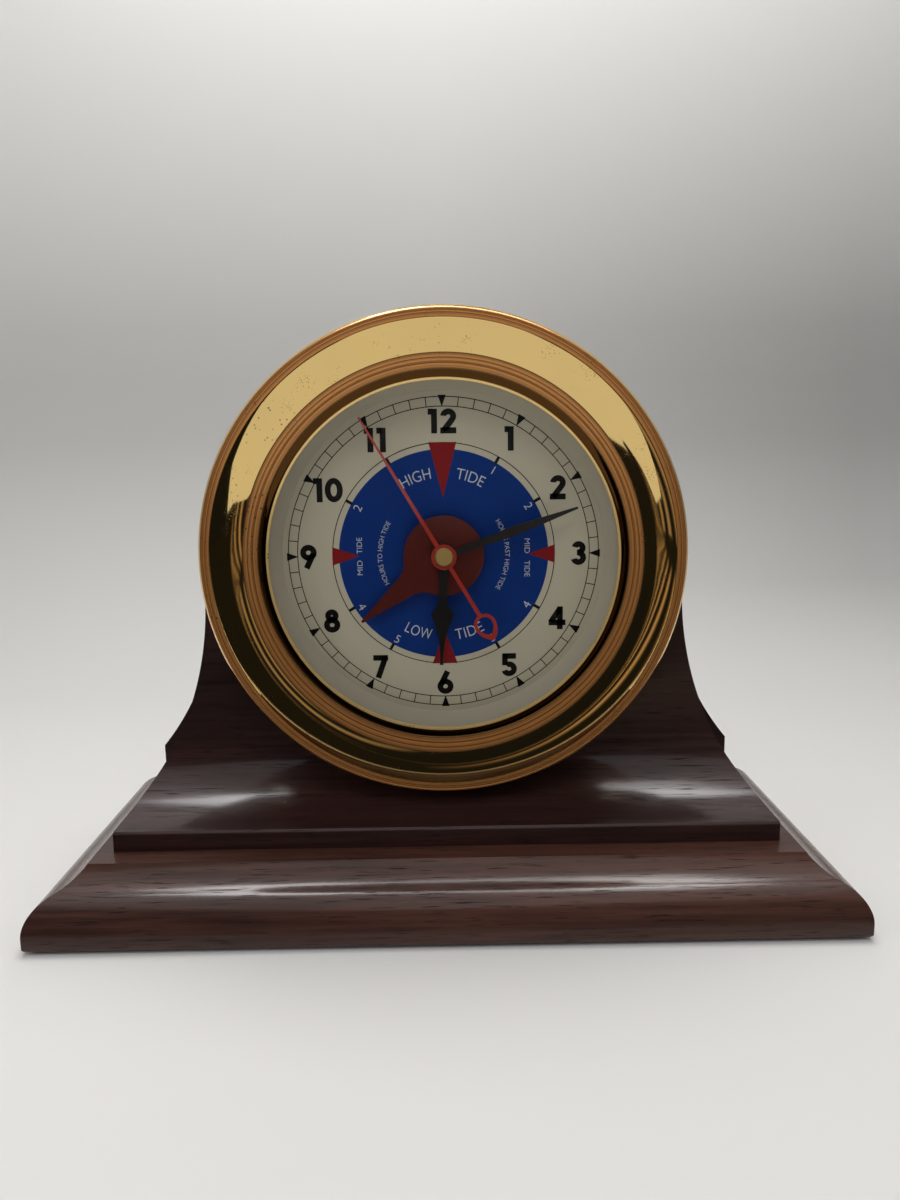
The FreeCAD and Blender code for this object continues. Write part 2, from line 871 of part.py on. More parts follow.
def make_dial_plate():
    """Dial on the case's ledge, with the movement's hole and two screw holes."""
    body = new_body("dial_plate")
    disc(body, cup_bore - size.seat_clearance, size.ledge_height, dial_front)
    hole(body, size.bushing_radius + size.seat_clearance, size.ledge_height, dial_front)
    for x in (size.dial_screw_circle, -size.dial_screw_circle):
        hole(body, size.dial_screw_head_radius + size.seat_clearance, size.ledge_height,
             dial_front, x, 0)
    on_clock(body)


def make_dial_screws():
    """Two flat screws that hold the dial to the ledge."""
    bodies = []
    for x in (size.dial_screw_circle, -size.dial_screw_circle):
        item = screw("dial_screw", size.dial_screw_head_radius, size.dial_thickness,
                     size.dial_screw_radius, size.dial_screw_length)
        rotation = FreeCAD.Rotation(V(1, 0, 0), -90)
        place(item, x, face_y - size.ledge_height, size.axis_height, rotation)
        bodies.append(item)
    group("dial_screws", bodies)


# The movement


def shell_outline(inset):
    """The movement's rounded outline, set in by a distance."""
    return rounded_corners(movement_half - inset, -size.movement_bottom + inset,
                           size.movement_top - inset, size.movement_corner - inset)


def make_movement_front_shell():
    """Front half of the movement's case, with the threaded bushing and the pivot holes."""
    body = new_body("movement_front_shell")
    plate(body, shell_outline(0), shell_joint, movement_front)
    inner = draw(new_sketch(body, offset=shell_joint), shell_outline(size.shell_wall))
    pocket(body, inner, train_front - shell_joint)
    disc(body, size.bushing_radius, movement_front, movement_front + size.cushion_thickness
         + size.bushing_height)
    hole(body, bushing_bore, train_front,
         movement_front + size.cushion_thickness + size.bushing_height)
    for x, y in (minute_wheel_place, third_place, fifth_place, tide_place):
        hole(body, size.pivot_radius + size.running_clearance, train_front,
             train_front + size.pivot_depth, x, y)
    on_clock(body)


def make_movement_back_shell():
    """Rear half with the battery bay, its partition and the bearings for the arbors."""
    body = new_body("movement_back_shell")
    wall = size.shell_wall
    plate(body, shell_outline(0), movement_back, shell_joint)
    inner = draw(new_sketch(body, offset=train_back), shell_outline(wall))
    pocket(body, inner, shell_joint - train_back)
    inside = movement_half - wall
    bay_top = -size.partition_place - wall
    partition = box_corners(-inside, inside, bay_top, -size.partition_place)
    plate(body, partition, train_back, train_front)
    bay_half = (size.battery_length + size.battery_nub_height) / 2 + size.bay_margin
    bay = box_corners(-bay_half, bay_half, -size.movement_bottom + wall, bay_top)
    pocket(body, draw(new_sketch(body, offset=movement_back), bay), wall)
    for x, y in ((0, 0), third_place, fifth_place, rotor_place):
        hole(body, size.pivot_radius + size.running_clearance,
             train_back - size.pivot_depth, train_back, x, y)
    for x, y in (minute_wheel_place, tide_place):
        hole(body, size.knob_stem_radius + size.running_clearance, movement_back, train_back,
             x, y)
    on_clock(body)


def make_cushion():
    """Rubber washer between the movement and the back of the dial."""
    body = new_body("movement_cushion")
    disc(body, size.cushion_radius, movement_front, size.ledge_height)
    hole(body, size.bushing_radius + size.seat_clearance, movement_front, size.ledge_height)
    on_clock(body)


def make_fixing_parts():
    """Washer and hexagon nut that clamp the movement to the dial."""
    washer = new_body("fixing_washer")
    nut_back = dial_front + size.washer_thickness
    disc(washer, size.washer_radius, dial_front, nut_back)
    hole(washer, size.bushing_radius + size.seat_clearance, dial_front, nut_back)
    on_clock(washer)
    nut = new_body("fixing_nut")
    nut_front = nut_back + size.nut_thickness
    corner_radius = size.nut_flats / math.cos(math.radians(30))
    corners = [polar(corner_radius, 60.0 * index + 30.0) for index in range(6)]
    plate(nut, corners, nut_back, nut_front)
    hole(nut, size.bushing_radius, nut_back, nut_front)
    on_clock(nut)


def gap_corners(teeth, module, tip):
    """The gap between two teeth, widening outwards, about the x axis."""
    pitch_radius = module * (teeth / 2)
    root = pitch_radius - module * DEDENDUM_SHARE
    half_pitch = module * (math.pi / 2)
    half_root = half_pitch * ROOT_GAP_SHARE
    half_tip = half_pitch * TIP_GAP_SHARE
    slope = (half_tip - half_root) / (tip - root)
    beyond = tip + module
    half_beyond = half_root + slope * (beyond - root)
    return [(root, -half_root), (beyond, -half_beyond), (beyond, half_beyond),
            (root, half_root)]


def teeth_on(body, teeth, module, bottom, top, gap_angle):
    """A toothed disc with a gap between two teeth at gap_angle."""
    tip = module * (teeth / 2 + ADDENDUM_SHARE)
    disc(body, tip, bottom, top)
    gap = draw(new_sketch(body, offset=bottom, turn=gap_angle), gap_corners(teeth, module, tip))
    repeat(body, pocket(body, gap, top - bottom), teeth)


def module_of(distance, pinion_teeth, wheel_teeth):
    """The module that makes a pair mesh at its centre distance."""
    return distance * (2 / (pinion_teeth + wheel_teeth))


def pinion_on(body, teeth, module, wheel_bottom, angle_to_wheel):
    """A pinion a little longer than its wheel is thick, with a tooth towards the wheel."""
    teeth_on(body, teeth, module, wheel_bottom - size.pinion_margin,
             wheel_bottom + size.wheel_thickness + size.pinion_margin,
             angle_to_wheel + 180.0 / teeth)


def wheel_on(body, teeth, module, bottom, angle_to_pinion):
    """A wheel with a gap towards its pinion."""
    teeth_on(body, teeth, module, bottom, bottom + size.wheel_thickness, angle_to_pinion)


def arbor(body, bottom, top, radius, pivot_bottom=None, pivot_top=None):
    """A plain arbor, with a thinner pivot where an end runs in a bearing."""
    corners = [(radius, bottom), (radius, top)]
    if pivot_bottom:
        corners = [(size.pivot_radius, pivot_bottom), (size.pivot_radius, bottom)] + corners
    if pivot_top:
        corners += [(size.pivot_radius, top), (size.pivot_radius, pivot_top)]
    lowest, highest = pivot_bottom or bottom, pivot_top or top
    revolve(body, [(0, lowest)] + corners + [(0, highest)])


# Arbors stop a little short of the walls, and their pivots a little short of the holes' ends

end_play = size.running_clearance * 2
pivot_front = train_front + size.pivot_depth - end_play
pivot_back = train_back - size.pivot_depth + end_play
shoulder_front = train_front - end_play
shoulder_back = train_back + end_play
rotor_module = module_of(size.rotor_distance, ROTOR_TEETH, FIFTH_TEETH)
second_module = module_of(size.ring_distance, FIFTH_PINION_TEETH, SECOND_TEETH)
third_module = module_of(size.ring_distance, SECOND_PINION_TEETH, THIRD_TEETH)
centre_module = module_of(size.ring_distance, THIRD_PINION_TEETH, CENTRE_TEETH)
minute_module = module_of(size.ring_distance, MINUTE_PINION_TEETH, MINUTE_WHEEL_TEETH)
hour_module = module_of(size.ring_distance, HOUR_PINION_TEETH, HOUR_TEETH)
tide_drive_module = module_of(size.tide_distance, TIDE_DRIVE_PINION_TEETH, TIDE_DRIVE_TEETH)
tide_module = module_of(size.tide_distance, TIDE_PINION_TEETH, TIDE_TEETH)


def make_rotor():
    """Round magnet and its pinion on the shortest arbor."""
    body = new_body("rotor")
    front = size.pinion_margin - size.fifth_wheel_back + size.wheel_thickness
    revolve(body, [
        (0, pivot_back),
        (size.pivot_radius, pivot_back),
        (size.pivot_radius, -size.magnet_back),
        (size.magnet_radius, -size.magnet_back),
        (size.magnet_radius, -size.magnet_front),
        (size.pivot_radius, -size.magnet_front),
        (size.pivot_radius, front),
        (0, front),
    ])
    pinion_on(body, ROTOR_TEETH, rotor_module, -size.fifth_wheel_back, ROTOR_ANGLE + 180)
    on_clock(body, *rotor_place)


def make_fifth_wheel():
    """First reduction, from the rotor to the second wheel."""
    body = new_body("fifth_wheel")
    top = size.wheel_thickness + size.pinion_margin - size.second_wheel_back
    arbor(body, shoulder_back, top, size.arbor_radius, pivot_bottom=pivot_back)
    wheel_on(body, FIFTH_TEETH, rotor_module, -size.fifth_wheel_back, ROTOR_ANGLE)
    pinion_on(body, FIFTH_PINION_TEETH, second_module, -size.second_wheel_back,
              FIFTH_ANGLE + 180)
    on_clock(body, *fifth_place)


def make_second_wheel():
    """Wheel and pinion on the long arbor that carries the second hand."""
    body = new_body("second_wheel")
    top = size.second_hand_plane + size.hand_thickness
    arbor(body, shoulder_back, top, size.second_arbor_radius, pivot_bottom=pivot_back)
    wheel_on(body, SECOND_TEETH, second_module, -size.second_wheel_back, FIFTH_ANGLE)
    pinion_on(body, SECOND_PINION_TEETH, third_module, -size.third_wheel_back, THIRD_ANGLE)
    on_clock(body)


def make_third_wheel():
    """Wheel and pinion between the second arbor and the centre wheel."""
    body = new_body("third_wheel")
    arbor(body, shoulder_back, shoulder_front, size.arbor_radius, pivot_back, pivot_front)
    wheel_on(body, THIRD_TEETH, third_module, -size.third_wheel_back, THIRD_ANGLE + 180)
    pinion_on(body, THIRD_PINION_TEETH, centre_module, -size.centre_wheel_back,
              THIRD_ANGLE + 180)
    on_clock(body, *third_place)


def make_centre_wheel():
    """Wheel that carries the minute arbor round by friction."""
    body = new_body("centre_wheel")
    wheel_on(body, CENTRE_TEETH, centre_module, -size.centre_wheel_back, THIRD_ANGLE)
    hole(body, minute_tube_radius + size.running_clearance, -size.centre_wheel_back,
         size.wheel_thickness - size.centre_wheel_back)
    on_clock(body)


def tube(body, bore, radius, bottom, top):
    """A plain tube on the clock's axis."""
    revolve(body, box_corners(bore, radius, bottom, top))


def make_minute_arbor():
    """Tube of the minute hand with its two pinions and the foot that the wheel grips."""
    body = new_body("minute_arbor")
    bottom = -size.centre_wheel_back - size.pinion_margin
    tube(body, minute_tube_bore, minute_tube_radius, bottom,
         size.minute_hand_plane + size.hand_thickness)
    pinion_on(body, MINUTE_PINION_TEETH, minute_module, -size.minute_wheel_back,
              MINUTE_WHEEL_ANGLE)
    pinion_on(body, TIDE_DRIVE_PINION_TEETH, tide_drive_module, -size.tide_drive_back,
              TIDE_ANGLE)
    hole(body, minute_tube_bore, bottom, size.minute_hand_plane)
    on_clock(body)


def make_minute_wheel():
    """Wheel and pinion between the minute arbor and the hour wheel, on the setting arbor."""
    body = new_body("minute_wheel")
    arbor(body, movement_back, shoulder_front, size.knob_stem_radius, None, pivot_front)
    wheel_on(body, MINUTE_WHEEL_TEETH, minute_module, -size.minute_wheel_back,
             MINUTE_WHEEL_ANGLE + 180)
    pinion_on(body, HOUR_PINION_TEETH, hour_module, -size.hour_wheel_back,
              MINUTE_WHEEL_ANGLE + 180)
    on_clock(body, *minute_wheel_place)


def make_hour_wheel():
    """Hour wheel and its tube."""
    body = new_body("hour_wheel")
    tube(body, hour_tube_bore, hour_tube_radius, -size.hour_wheel_back,
         size.hour_hand_plane + size.hand_thickness)
    wheel_on(body, HOUR_TEETH, hour_module, -size.hour_wheel_back, MINUTE_WHEEL_ANGLE)
    hole(body, hour_tube_bore, -size.hour_wheel_back,
         size.wheel_thickness - size.hour_wheel_back)
    on_clock(body)


def make_tide_intermediate_wheel():
    """Wheel and pinion that slow the minute arbor to the lunar tide, on a setting arbor."""
    body = new_body("tide_intermediate_wheel")
    arbor(body, movement_back, shoulder_front, size.knob_stem_radius, None, pivot_front)
    wheel_on(body, TIDE_DRIVE_TEETH, tide_drive_module, -size.tide_drive_back,
             TIDE_ANGLE + 180)
    pinion_on(body, TIDE_PINION_TEETH, tide_module, size.tide_wheel_plane, TIDE_ANGLE + 180)
    on_clock(body, *tide_place)


def make_tide_wheel():
    """Tide wheel and its tube, the outermost one."""
    body = new_body("tide_wheel")
    tube(body, tide_tube_bore, tide_tube_radius, size.tide_wheel_plane,
         size.tide_hand_plane + size.hand_thickness)
    wheel_on(body, TIDE_TEETH, tide_module, size.tide_wheel_plane, TIDE_ANGLE)
    hole(body, tide_tube_bore, size.tide_wheel_plane,
         size.tide_wheel_plane + size.wheel_thickness)
    on_clock(body)


def make_knob(label, knob_place):
    """Fluted setting knob behind the movement."""
    body = new_body(label)
    top = movement_back - size.knob_gap
    bottom = top - size.knob_length
    disc(body, size.knob_radius, bottom, top)
    disc(body, size.knob_stem_radius, top, movement_back)
    flute = draw_circle(new_sketch(body, offset=bottom), size.knob_flute, size.knob_radius, 0)
    repeat(body, pocket(body, flute, size.knob_length), KNOB_FLUTES)
    on_clock(body, *knob_place)


def make_battery():
    """Dry cell lying across the foot of the movement, its nub to the right."""
    body = new_body("battery")
    length = size.battery_length
    revolve(body, [
        (0, 0),
        (size.battery_radius, 0),
        (size.battery_radius, length),
        (size.battery_nub_radius, length),
        (size.battery_nub_radius, length + size.battery_nub_height),
        (0, length + size.battery_nub_height),
    ])
    rotation = FreeCAD.Rotation(V(0, 1, 0), 90)
    depth = -size.battery_back + size.battery_radius
    place(body, -(length + size.battery_nub_height) / 2, face_y - depth,
          size.axis_height - size.battery_place, rotation)


def make_contact(label, side):
    """Bent strip between the shell's end wall and one end of the cell."""
    body = new_body(label)
    wall = (movement_half - size.shell_wall) * side
    cell = (size.battery_length + size.battery_nub_height) / 2 * side
    thick = size.contact_thickness * side
    depth = -size.battery_back + size.battery_radius
    bottom = depth - size.contact_height / 2
    top = depth + size.contact_height / 2
    corners = [(wall, bottom), (wall, top), (cell, top - size.contact_thickness),
               (cell, depth - size.contact_thickness), (cell + thick, depth),
               (cell + thick, top - 2 * size.contact_thickness),
               (wall - thick, top - 2 * size.contact_thickness), (wall - thick, bottom)]
    strip = draw(new_sketch(body, "XZ_Plane"), corners)
    pad_both_ways(body, strip, size.contact_width / 2, size.contact_width / 2)
    on_clock(body, 0, -size.battery_place)


def make_stator():
    """Flat iron yoke round the rotor, with a leg to each end of the coil."""
    body = new_body("stator")
    left, right = -size.stator_left, size.stator_right
    top = size.coil_height + size.lug_width / 2
    foot_right = -size.stator_foot_right
    corners = [
        (left, size.stator_foot + size.stator_chamfer),
        (left + size.stator_chamfer, size.stator_foot),
        (foot_right - size.stator_chamfer, size.stator_foot),
        (foot_right, size.stator_foot + size.stator_chamfer),
        (foot_right, size.stator_bar_bottom),
        (right, size.stator_bar_bottom),
        (right, top),
        (right - size.stator_leg, top),
        (right - size.stator_leg, size.stator_bar_top),
        (left + size.stator_leg, size.stator_bar_top),
        (left + size.stator_leg, top),
        (left, top),
    ]
    bottom = -size.stator_back
    plate(body, corners, bottom, bottom + size.stator_thickness)
    hole(body, size.stator_bore, bottom, bottom + size.stator_thickness, *rotor_place)
    on_clock(body)


def make_coil():
    """Wound bobbin on a flat core whose ends lie on the stator's legs."""
    body = new_body("coil")
    middle = size.stator_thickness * 1.5 - size.stator_back
    half = size.coil_length / 2
    flange = half - size.coil_flange
    revolve(body, [
        (0, -half), (size.coil_radius, -half), (size.coil_radius, -flange),
        (size.coil_wound_radius, -flange), (size.coil_wound_radius, flange),
        (size.coil_radius, flange), (size.coil_radius, half), (0, half),
    ])
    left = -size.stator_left + size.coil_centre
    right = size.stator_right + size.coil_centre
    half_lug = size.lug_width / 2
    lug = box_corners(-half_lug, half_lug, left, right)
    half_core = size.stator_thickness / 2
    pad_both_ways(body, draw(new_sketch(body, "YZ_Plane"), lug), half_core, half_core)
    # the bobbin's own axis is along the clock's x
    rotation = FreeCAD.Rotation(V(0, 1, 0), 90)
    turned = rotation.multiply(FreeCAD.Rotation(V(0, 0, 1), 90))
    place(body, -size.coil_centre, face_y - middle, size.axis_height + size.coil_height, turned)


def make_circuit_parts():
    """Small board on the rear wall with the quartz can lying on it."""
    board = new_body("circuit_board")
    right = movement_half - size.shell_wall - size.circuit_margin
    top = size.movement_top - size.shell_wall - size.circuit_margin
    left = right - size.circuit_width
    corners = box_corners(left, right, top - size.circuit_length, top)
    face = train_back + size.circuit_thickness
    plate(board, corners, train_back, face)
    on_clock(board)
    can = new_body("quartz_can")
    disc(can, size.quartz_radius, 0, size.quartz_length)
    rotation = FreeCAD.Rotation(V(0, 1, 0), 90)
    place(can, (left + right) / 2 - size.quartz_length / 2, face_y - face - size.quartz_radius,
          size.axis_height + top - size.circuit_length / 2, rotation)


# The hands, each drawn pointing up to 12


def make_tide_hand():
    """Round disc that runs out into a straight pointer."""
    body = new_body("tide_hand")
    bottom = size.tide_hand_plane
    top = bottom + size.hand_thickness
    disc(body, size.tide_disc_radius, bottom, top)
    start = size.tide_disc_radius * math.sin(math.radians(38))
    start_reach = size.tide_disc_radius * math.cos(math.radians(38))
    half_shoulder = size.tide_shoulder_width / 2
    rise = size.tide_shoulder_reach - start_reach
    bend = tangent_radius(start - half_shoulder, rise)
    plate(body, both_sides([
        (start, 0),
        (start, start_reach, (bend, RIGHT)),
        (half_shoulder, size.tide_shoulder_reach),
        (size.tide_tip_width / 2, size.tide_hand_reach),
    ]), bottom, top)
    hole(body, tide_tube_radius, bottom, top)
    on_clock(body, turn=TIDE_HAND_TURN)


def make_hour_hand():
    """Spade hand: stem, swell and long hollow taper."""
    body = new_body("hour_hand")
    bottom = size.hour_hand_plane
    top = bottom + size.hand_thickness
    disc(body, size.hour_boss_radius, bottom, top)
    plate(body, both_sides([
        (size.hour_stem_width / 2, 0),
        (size.hour_stem_width / 2, size.hour_stem_reach, (size.hour_swell_bend, RIGHT)),
        (size.hour_swell_width / 2, size.hour_swell_reach, (size.hour_taper_bend, RIGHT)),
        (size.hour_tip_width / 2, size.hour_hand_reach),
    ]), bottom, top)
    hole(body, hour_tube_radius, bottom, top)
    on_clock(body, turn=HOUR_HAND_TURN)


def make_minute_hand():
    """Slim leaf hand."""
    body = new_body("minute_hand")
    bottom = size.minute_hand_plane
    top = bottom + size.hand_thickness
    disc(body, size.minute_boss_radius, bottom, top)
    plate(body, both_sides([
        (size.minute_root_width / 2, 0),
        (size.minute_swell_width / 2, size.minute_swell_reach),
        (size.minute_tip_width / 2, size.minute_hand_reach),
    ]), bottom, top)
    hole(body, minute_tube_radius, bottom, top)
    on_clock(body, turn=MINUTE_HAND_TURN)


def loop_corners(radius, point_reach):
    """A drop below the hub: two arcs from its sides that meet in a point, and a round top."""
    middle = -size.second_loop_place
    side = tangent_radius(radius, point_reach - size.second_loop_place)
    return [
        (0, middle + radius, (radius, LEFT)),
        (-radius, middle, (side, LEFT)),
        (0, -point_reach, (side, LEFT)),
        (radius, middle, (radius, LEFT)),
    ]


def make_second_hand():
    """Needle with a hub disc and an open drop on its tail."""
    body = new_body("second_hand")
    bottom = size.second_hand_plane
    top = bottom + size.hand_thickness
    disc(body, size.second_hub_radius, bottom, top)
    plate(body, both_sides([
        (size.second_root_width / 2, 0),
        (size.second_tip_width / 2, size.second_hand_reach),
    ]), bottom, top)
    loop_top = -size.second_loop_place + size.second_loop_radius - size.second_loop_stroke / 2
    half_tail = size.second_tail_width / 2
    plate(body, box_corners(-half_tail, half_tail, loop_top, 0), bottom, top)
    plate(body, loop_corners(size.second_loop_radius, size.second_tail_reach), bottom, top)
    inner = size.second_loop_radius - size.second_loop_stroke
    inner_point = size.second_tail_reach - 2 * size.second_loop_stroke
    drop = draw(new_sketch(body, offset=bottom), loop_corners(inner, inner_point))
    pocket(body, drop, size.hand_thickness)
    hole(body, size.second_arbor_radius, bottom, top)
    on_clock(body, turn=SECOND_HAND_TURN)


def make_hand_cap():
    """Small turned cap over the end of the second arbor."""
    body = new_body("hand_cap")
    bottom = size.second_hand_plane + size.hand_thickness
    top = bottom + size.cap_height
    revolve(body, [
        (0, bottom),
        (size.cap_radius, bottom),
        (size.cap_radius, top - size.cap_bevel),
        (size.cap_radius - size.cap_bevel, top),
        (0, top),
    ])
    on_clock(body)


def check_document():
    """Stop if anything failed to build or a cut removed nothing."""
    for item in doc.Objects:
        if "Invalid" in item.State or "Error" in item.State:
            raise RuntimeError("%s did not build: %s" % (item.Name, item.State))
        if item.TypeId == "PartDesign::Pocket":
            before = item.BaseFeature.Shape.Volume
            if item.Shape.Volume >= before * (1 - 1e-9):
                raise RuntimeError("%s of %s cuts nothing" % (item.Name, item.getParent().Label))
    for node in NODES:
        if node.Shape.isNull() or not node.Shape.isValid():
            raise RuntimeError("%s has no valid shape" % node.Label)


def main():
    make_base_felt()
    make_plinth()
    make_saddle_block()
    make_back_board()
    make_base_screws()
    make_case_body()
    make_case_screws()
    make_bezel()
    make_crystal()
    make_crystal_ring()
    make_reflector_ring()
    make_dial_plate()
    make_dial_screws()
    make_movement_front_shell()
    make_movement_back_shell()
    make_cushion()
    make_fixing_parts()
    make_rotor()
    make_fifth_wheel()
    make_second_wheel()
    make_third_wheel()
    make_centre_wheel()
    make_minute_arbor()
    make_minute_wheel()
    make_hour_wheel()
    make_tide_intermediate_wheel()
    make_tide_wheel()
    make_knob("time_set_knob", minute_wheel_place)
    make_knob("tide_set_knob", tide_place)
    make_battery()
    make_contact("battery_contact_positive", 1)
    make_contact("battery_contact_negative", -1)
    make_stator()
    make_coil()
    make_circuit_parts()
    make_tide_hand()
    make_hour_hand()
    make_minute_hand()
    make_second_hand()
    make_hand_cap()
    doc.recompute()
    check_document()
    os.makedirs("parts", exist_ok=True)
    for node in NODES:
        node.Shape.exportStep("parts/%s.step" % node.Label)
    print("%d parts written" % len(NODES))


main()
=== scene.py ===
"""Tide clock: a brass tide clock on a mahogany mantel base, dressed over its packed frame.

The frame carries every solid at its true place. This add-on turns the bezel, sweeps the
mouldings, prints the dial, gives each piece its finish and sets up a small studio.
Sizes are metres. Face places are measured from the wood face towards the viewer, so a
face height h stands at y = -h, and the clock's axis runs along y at the axis height.
"""

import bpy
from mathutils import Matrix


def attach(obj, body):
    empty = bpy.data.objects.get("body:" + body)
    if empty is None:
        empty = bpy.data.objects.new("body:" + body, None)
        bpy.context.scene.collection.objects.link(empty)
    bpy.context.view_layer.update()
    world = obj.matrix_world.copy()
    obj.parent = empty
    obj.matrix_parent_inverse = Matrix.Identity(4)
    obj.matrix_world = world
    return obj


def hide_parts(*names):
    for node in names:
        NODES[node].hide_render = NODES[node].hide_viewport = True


bl_info = {
    "name": "Tide Clock",
    "version": (1, 0, 0),
    "blender": (4, 5, 0),
    "location": "3D View > Sidebar > Tide Clock",
    "description": "Brass tide clock on a mahogany mantel base",
    "category": "Object",
}

import math

import bmesh
import bpy
import numpy as np
from mathutils import Matrix, Vector
from mathutils.geometry import tessellate_polygon

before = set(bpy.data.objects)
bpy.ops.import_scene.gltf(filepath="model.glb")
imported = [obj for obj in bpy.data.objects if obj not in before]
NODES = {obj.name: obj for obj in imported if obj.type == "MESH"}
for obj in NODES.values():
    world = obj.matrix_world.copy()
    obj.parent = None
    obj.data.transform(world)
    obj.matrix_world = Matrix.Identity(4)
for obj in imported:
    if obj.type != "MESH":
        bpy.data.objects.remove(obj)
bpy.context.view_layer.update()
MM = 0.001
LEFT, RIGHT = 1, -1

# Radii of fine grooves on the bezel's face, each darkened by a thin line of painted shade
GROOVE_SHADE_RADII = tuple(radius * MM for radius in (60.15, 61.75, 63.3, 64.75, 75.4, 76.75, 78.1))
GROOVE_SHADE_HALF = 0.22 * MM
SATIN_STEPS = (59.9 * MM, 0.3 * MM, 64.8 * MM, 0.06 * MM)
SATIN_GROOVES = (75.4 * MM, 0.06 * MM, 78.5 * MM, 0.1 * MM)
# Radii of the bezel's hollow, which is darkened with painted shade
HOLLOW_SHADE_BAND = (57.3 * MM, 0.1 * MM, 60.1 * MM, 0.3 * MM)
LIP_EDGE = (57.45 * MM, 0.05 * MM)
LINE_PITCH = 5200.0


# Sizes and colours


def length(name, description, millimetres):
    """A length property whose default is given in millimetres."""
    return bpy.props.FloatProperty(name=name, description=description,
                                   default=millimetres * MM, unit="LENGTH", precision=5)


def colour(name, description, *rgb):
    """A colour property with a scene-linear default."""
    return bpy.props.FloatVectorProperty(name=name, description=description, subtype="COLOR",
                                         size=3, min=0.0, max=1.0, default=rgb)


class WoodSettings(bpy.types.PropertyGroup):
    """The mahogany base."""

    plinth_width: length("Plinth width", "Width of the moulded board", 258.6)
    plinth_depth: length("Plinth depth", "Depth of the moulded board", 108.0)
    plinth_bottom: length("Plinth bottom", "Height of the board's underside", 1.0)
    plinth_top: length("Plinth top", "Height of the board's top", 22.0)
    nose_height: length("Nose height", "Height of the moulding's square nose", 4.2)
    nose_arc: length("Nose arc", "Radius of the moulding's round part", 11.383)
    ogee_inset: length("Ogee inset", "How far in the round part meets the hollow", 7.5)
    ogee_height: length("Ogee height", "Height at which they meet", 14.9)
    ogee_arc: length("Ogee arc", "Radius of the moulding's hollow part", 17.3)
    top_inset: length("Top inset", "How far in the moulding ends", 15.6)
    arris: length("Arris", "Small flat on the sharp edges", 0.8)
    block_width: length("Block width", "Width of the block's foot", 216.8)
    block_edge: length("Block edge", "Height of the block's square front edge", 6.4)
    cove_run: length("Cove run", "Depth of the cove in front of the wood face", 29.8)
    cove_rise: length("Cove rise", "Height of the cove", 21.1)
    cove_sweep: length("Cove sweep", "Radius of the cove's wide lower arc", 34.0)
    block_back: length("Block back", "Distance from the wood face to the block's back", 29.0)
    board_back: length("Board back", "Distance from the wood face to the board's back", 47.6)
    ear_height: length("Ear height", "Height of the back board's square ears", 16.0)
    arch_radius: length("Arch radius", "Radius of the block's round top", 82.0)
    board_arch_radius: length("Board arch radius", "Radius of the board's round top", 85.3)
    arch_height: length("Arch height", "Height of the arches' centre", 101.7)
    axis_height: length("Axis height", "Height of the clock's axis", 114.4)
    bore_radius: length("Bore radius", "Hole in the block for the case", 58.3)
    access_radius: length("Access radius", "Round opening in the back board", 46.0)
    screw_circle: length("Screw circle", "Radius on which the case screws stand", 52.0)
    counterbore_radius: length("Counterbore radius", "Recess for a screw's head", 3.7)
    counterbore_depth: length("Counterbore depth", "Depth of that recess", 8.6)
    edge_round: length("Edge round", "Sanded rounding of the wooden edges", 0.55)
    dark: colour("Dark grain", "Late wood and pores", 0.010, 0.0042, 0.0034)
    block_tone: colour("Block tone", "Stained colour of the block and back board",
                       0.031, 0.0120, 0.0105)
    plinth_tone: colour("Plinth tone", "Stained colour of the plinth", 0.072, 0.027, 0.0185)


